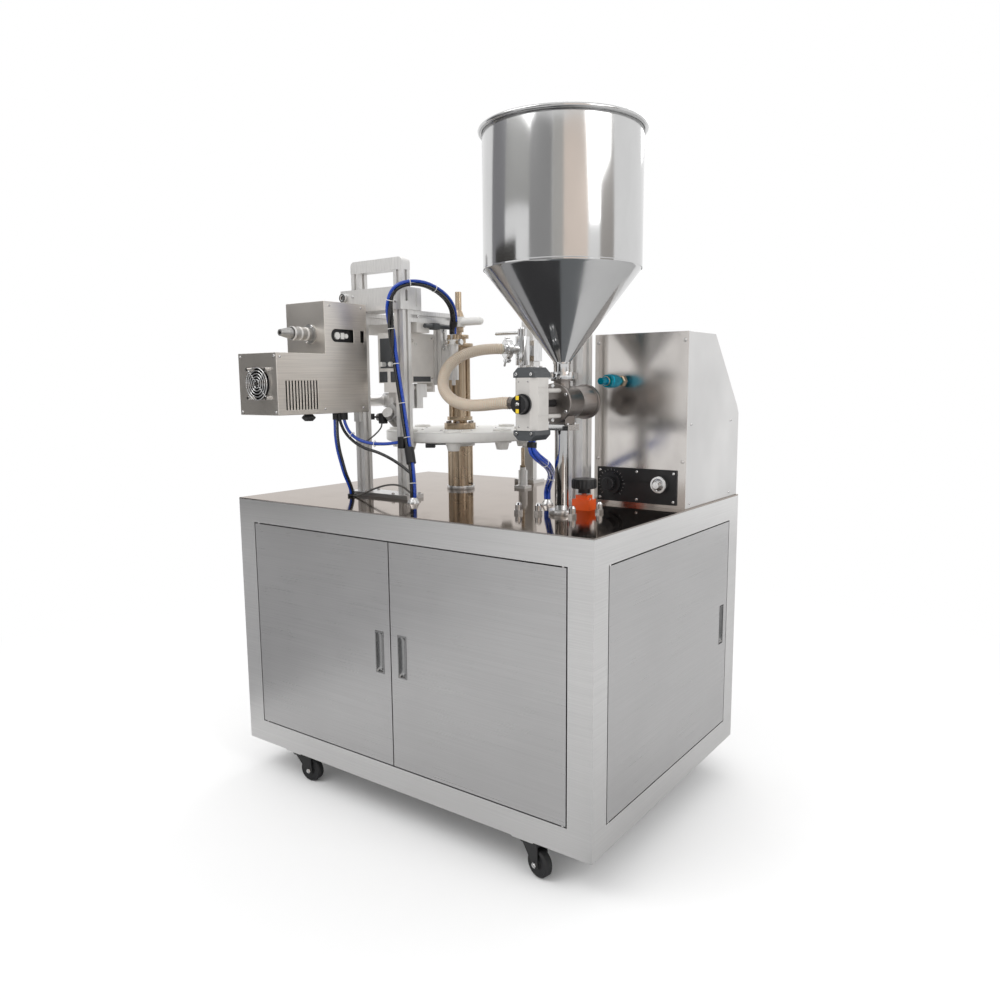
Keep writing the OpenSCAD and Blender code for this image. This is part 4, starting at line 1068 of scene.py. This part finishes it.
class FILLER_OT_controls(bpy.types.Operator):
    """Adds the screws, ticks and grips of the control housing"""

    bl_idname = "filler.controls"
    bl_label = "Controls"

    # Middle of the dial's scale, and the inner, short and long radius of its ticks
    SCALE = Vector((350, 45.9, 52))
    TICKS = (32, 36, 38)
    STROKE = (343, -75)

    def execute(self, context):
        bm = bmesh.new()
        for x, z in product((309, 536), (113, 396)):
            dome_screw(bm, (x, 50, z), -Y_AXIS, 4.6)
        for x, z in product((319, 420, 516), (16, 84)):
            dome_screw(bm, (x, 46, z), -Y_AXIS, 3.6)
        for y, z in product((75, 330), (12, 200)):
            dome_screw(bm, (545, y, z), X_AXIS, 3.2)
        keep("control_screws", bm, "chrome")
        bm = bmesh.new()
        for k in range(19):
            a = math.radians(-45 + 15 * k)
            way = Vector((math.cos(a), 0, math.sin(a)))
            inner, short, tall = (self.SCALE + way * radius for radius in self.TICKS)
            rod(bm, inner, short if k % 3 else tall, 0.4, 0.1, 8)
        keep("dial_ticks", bm, "cast")
        bm = bmesh.new()
        grip(bm, ((14, 0), (16.5, 0.8), (16.5, 12), (14.5, 13.6)), (350, 37.9, 52), -Y_AXIS, 18, 1.2)
        keep("dial_grip", bm, "black", "speed_dial")
        bm = bmesh.new()
        grip(bm, ((18, 0), (20, 0.8), (20, 16), (18, 17)), (486, 43, 58), -Y_AXIS, 30, 0.8)
        keep("regulator_grip", bm, "chrome", "regulator_knob")
        bm = bmesh.new()
        grip(bm, ((14, 0), (16.2, 1.2), (16.2, 26), (14, 28)), (COUPLER[0], 14, COUPLER[1]), -Y_AXIS, 24,
             0.9)
        keep("coupler_grip", bm, "cyan")
        bm = bmesh.new()
        ring(bm, (COUPLER[0], 0, COUPLER[1]), -Y_AXIS, 8, 11.4, 24, 31)
        hexagon(bm, (COUPLER[0], 50, COUPLER[1]), -Y_AXIS, 14, 8)
        keep("coupler_nuts", bm, "brass")
        bm = bmesh.new()
        grip(bm, ((27, 0), (30, 2), (30, 19), (27, 22.5)), (*self.STROKE, 51.8), Z_AXIS, 20, 2)
        keep("stroke_grip", bm, "black", "adjust_knob")
        bm = bmesh.new()
        for dx in (-16, 16):
            cap_screw(bm, (self.STROKE[0] + dx, self.STROKE[1], 26), Z_AXIS, 3.4, 2.6)
        keep("stroke_screws", bm, "chrome")
        return {"FINISHED"}


class FILLER_OT_stage(bpy.types.Operator):
    """Sets the floor, the light, the cards that paint reflections and the camera"""

    bl_idname = "filler.stage"
    bl_label = "Stage"

    EYE = (1.3273, -1.7108, 1.0632)
    RIGHT = (0.80885, 0.58797, -0.00779)
    DOWN = (0.07562, -0.11715, -0.99023)
    AHEAD = (-0.58314, 0.80036, -0.13922)
    FOCAL_SHARE = 0.82507
    FILM = 36
    # Strength of the sky as light and as it is seen
    SKY = (0.88, 1.0)
    # Name, place, aim, size and power of each lamp
    LAMPS = (("key", (-1.2, -2.4, 3.6), (0, 0, 0.8), (2.6, 2.0), 40),
             ("fill", (3.2, -0.4, 2.6), (0.2, 0, 0.7), (1.8, 1.8), 30),
             ("back", (-0.6, 2.8, 3.0), (0, 0, 0.9), (2.4, 1.2), 20))
    # Distance of the cards round the hopper
    CARD_REACH = 3.0
    # Distances between which the floor fades into the white backdrop
    FADE = (0.9, 2.4)
    # Direction, width, lower edge, upper edge and tint of each card; each card paints a dark, grey or beige
    # band of reflection on the hopper
    CARDS = ((-159, 30, 0.9, 3.4, (0.25, 0.25, 0.26)), (-124, 40, 2.05, 3.4, (0.42, 0.42, 0.41)),
             (-88, 32, 0.9, 3.4, (0.33, 0.33, 0.33)), (-64, 15, 0.9, 3.4, (0.5, 0.49, 0.47)),
             (-40, 33, 0.9, 3.4, (0.85, 0.74, 0.66)), (5, 22, 0.9, 3.4, (0.4, 0.38, 0.36)))

    def camera(self, scene):
        """The camera that was solved from the cabinet's corners."""
        lens = bpy.data.cameras.new("camera")
        lens.sensor_width = self.FILM
        lens.lens = self.FILM * self.FOCAL_SHARE
        lens.clip_end = 60
        eye = added("camera", lens)
        axes = Matrix((self.RIGHT, [-v for v in self.DOWN], [-v for v in self.AHEAD])).transposed()
        eye.matrix_world = Matrix.Translation(self.EYE) @ axes.to_4x4()
        scene.camera = eye

    def world(self, scene):
        """A white sky that lights the machine a little less than it shows."""
        world = bpy.data.worlds.new("studio")
        scene.world = world
        world.use_nodes = True
        nodes, links = world.node_tree.nodes, world.node_tree.links
        sky = nodes["Background"]
        sky.inputs["Color"].default_value = (1, 1, 1, 1)
        path = nodes.new("ShaderNodeLightPath")
        seen = path.outputs["Is Camera Ray"]
        for kind in ("Is Glossy Ray", "Is Transmission Ray"):
            either = nodes.new("ShaderNodeMath")
            either.operation = "MAXIMUM"
            links.new(seen, either.inputs[0])
            links.new(path.outputs[kind], either.inputs[1])
            seen = either.outputs[0]
        level = nodes.new("ShaderNodeMapRange")
        for end, strength in zip(("To Min", "To Max"), self.SKY):
            level.inputs[end].default_value = strength
        links.new(seen, level.inputs["Value"])
        links.new(level.outputs["Result"], sky.inputs["Strength"])

    def lamp(self, name, place, aim, size, power):
        """A soft rectangular lamp."""
        light = bpy.data.lights.new(name, "AREA")
        light.shape = "RECTANGLE"
        light.size, light.size_y = size
        light.energy = power
        lamp = added(name, light)
        way = Vector(aim) - Vector(place)
        lamp.matrix_world = Matrix.Translation(place) @ way.to_track_quat("-Z", "Y").to_matrix().to_4x4()

    def flat(self, name, place, size, finish):
        """A flat sheet; place is a matrix and size its width and height."""
        bm = bmesh.new()
        bmesh.ops.create_grid(bm, x_segments=1, y_segments=1, size=0.5)
        move(bm, place @ Matrix.Diagonal((*size, 1, 1)))
        mesh = mesh_of(name, bm)
        mesh.materials.append(finish.material)
        made = added(name, mesh)
        return made

    def card(self, name, place, size, tint):
        """A tinted card that only reflections see, a painted reflection."""
        finish = Finish(name).set({"Base Color": rgba(tint), "Roughness": 1.0, "Specular IOR Level": 0.0})
        card = self.flat(name, place, size, finish)
        card.visible_camera = False
        card.visible_diffuse = False
        card.visible_shadow = False

    def cards(self):
        """Painted reflections: cards round the hopper and under its cone, on the floor and before the hot air
        head, which only reflections see.
        """
        for k, (turn, spread, low, high, tint) in enumerate(self.CARDS):
            angle = math.radians(turn)
            out = Vector((math.cos(angle), math.sin(angle), 0))
            middle = spot(*FILLER, 0) + out * self.CARD_REACH
            middle.z = (low + high) / 2
            width = 2 * self.CARD_REACH * math.tan(math.radians(spread / 2))
            self.card("card_%d" % (k + 1), facing(middle, out.cross(Z_AXIS), -out), (width, high - low), tint)
        # Painted reflection: metal sees the floor as this grey card, darker than the floor the camera sees
        self.card("floor_card", Matrix.Translation((0, 0, 0.008)), (9, 9), (0.6, 0.6, 0.6))
        # Painted shade: a darker card where metal sees the floor at the machine's left front
        self.card("shade_card", Matrix.Translation((-2.5, -1.6, 0.01)), (3.2, 3.0), (0.32, 0.32, 0.325))
        # Painted reflection: a near-black card before the hot air head, seen only in its reflections
        back = Vector((0.79, 0.613, 0))
        self.card("heater_card", facing((-1.89, -1.67, 1.05), Z_AXIS.cross(back), back), (2.0, 1.1),
                  (0.06, 0.057, 0.054))
        # Painted shade: a dark card where metal sees the floor at the machine's right front
        self.card("corner_card", Matrix.Translation((1.1, -1.0, 0.012)), (1.2, 1.3), (0.15, 0.158, 0.165))
        # Painted shade: a near-black card above the table front darkens the hopper's cone in reflections
        across = Matrix.Rotation(math.radians(32), 4, "Z")
        self.card("cone_card", Matrix.Translation((0.2, -0.462, 0.93)) @ across, (0.56, 0.34),
                  (0.04, 0.04, 0.042))

    def floor(self):
        """A pale floor that fades into the backdrop."""
        finish = Finish("pale_floor")
        reach = finish.node("ShaderNodeVectorMath", "Value", {0: finish.place}, operation="LENGTH")
        fade = finish.spread(reach, *self.FADE)
        finish.set({
            "Base Color": finish.mix(fade, (0.95, 0.95, 0.95), (0, 0, 0)), "Roughness": 1.0,
            "Specular IOR Level": 0.0, "Emission Color": finish.mix(fade, (0, 0, 0), (1, 1, 1)),
            "Emission Strength": 1.0,
        })
        self.flat("floor", Matrix.Identity(4), (60, 60), finish)

    def execute(self, context):
        scene = context.scene
        scene.view_settings.view_transform = "Standard"
        self.camera(scene)
        self.world(scene)
        self.floor()
        for row in self.LAMPS:
            self.lamp(*row)
        self.cards()
        return {"FINISHED"}


class FILLER_PT_panel(bpy.types.Panel):
    """Lists the steps and the values of the tube filling machine"""

    bl_idname = "FILLER_PT_panel"
    bl_label = "Tube filling machine"
    bl_space_type = "VIEW_3D"
    bl_region_type = "UI"
    bl_category = "Filler"

    def draw(self, context):
        for step in STEPS:
            self.layout.operator(step.bl_idname)
        for group in (context.scene.filler_colours, context.scene.filler_sizes):
            for name in group.bl_rna.properties.keys():
                if name not in ("rna_type", "name"):
                    self.layout.prop(group, name)


STEPS = (FILLER_OT_finishes, FILLER_OT_stage, FILLER_OT_hoses, FILLER_OT_hopper,
         FILLER_OT_cabinet, FILLER_OT_index, FILLER_OT_sealing, FILLER_OT_heater,
         FILLER_OT_filler, FILLER_OT_controls)
CLASSES = (FillerColours, FillerSizes, *STEPS, FILLER_PT_panel)


def register():
    """Registers the classes and the scene's values."""
    for cls in CLASSES:
        bpy.utils.register_class(cls)
    bpy.types.Scene.filler_colours = PointerProperty(type=FillerColours)
    bpy.types.Scene.filler_sizes = PointerProperty(type=FillerSizes)


def unregister():
    """Removes what register added."""
    del bpy.types.Scene.filler_sizes
    del bpy.types.Scene.filler_colours
    for cls in reversed(CLASSES):
        bpy.utils.unregister_class(cls)


def main():
    """Builds the looks in order."""
    register()
    for step in STEPS:
        group, name = step.bl_idname.split(".")
        getattr(getattr(bpy.ops, group), name)()


if __name__ == "__main__":
    main()
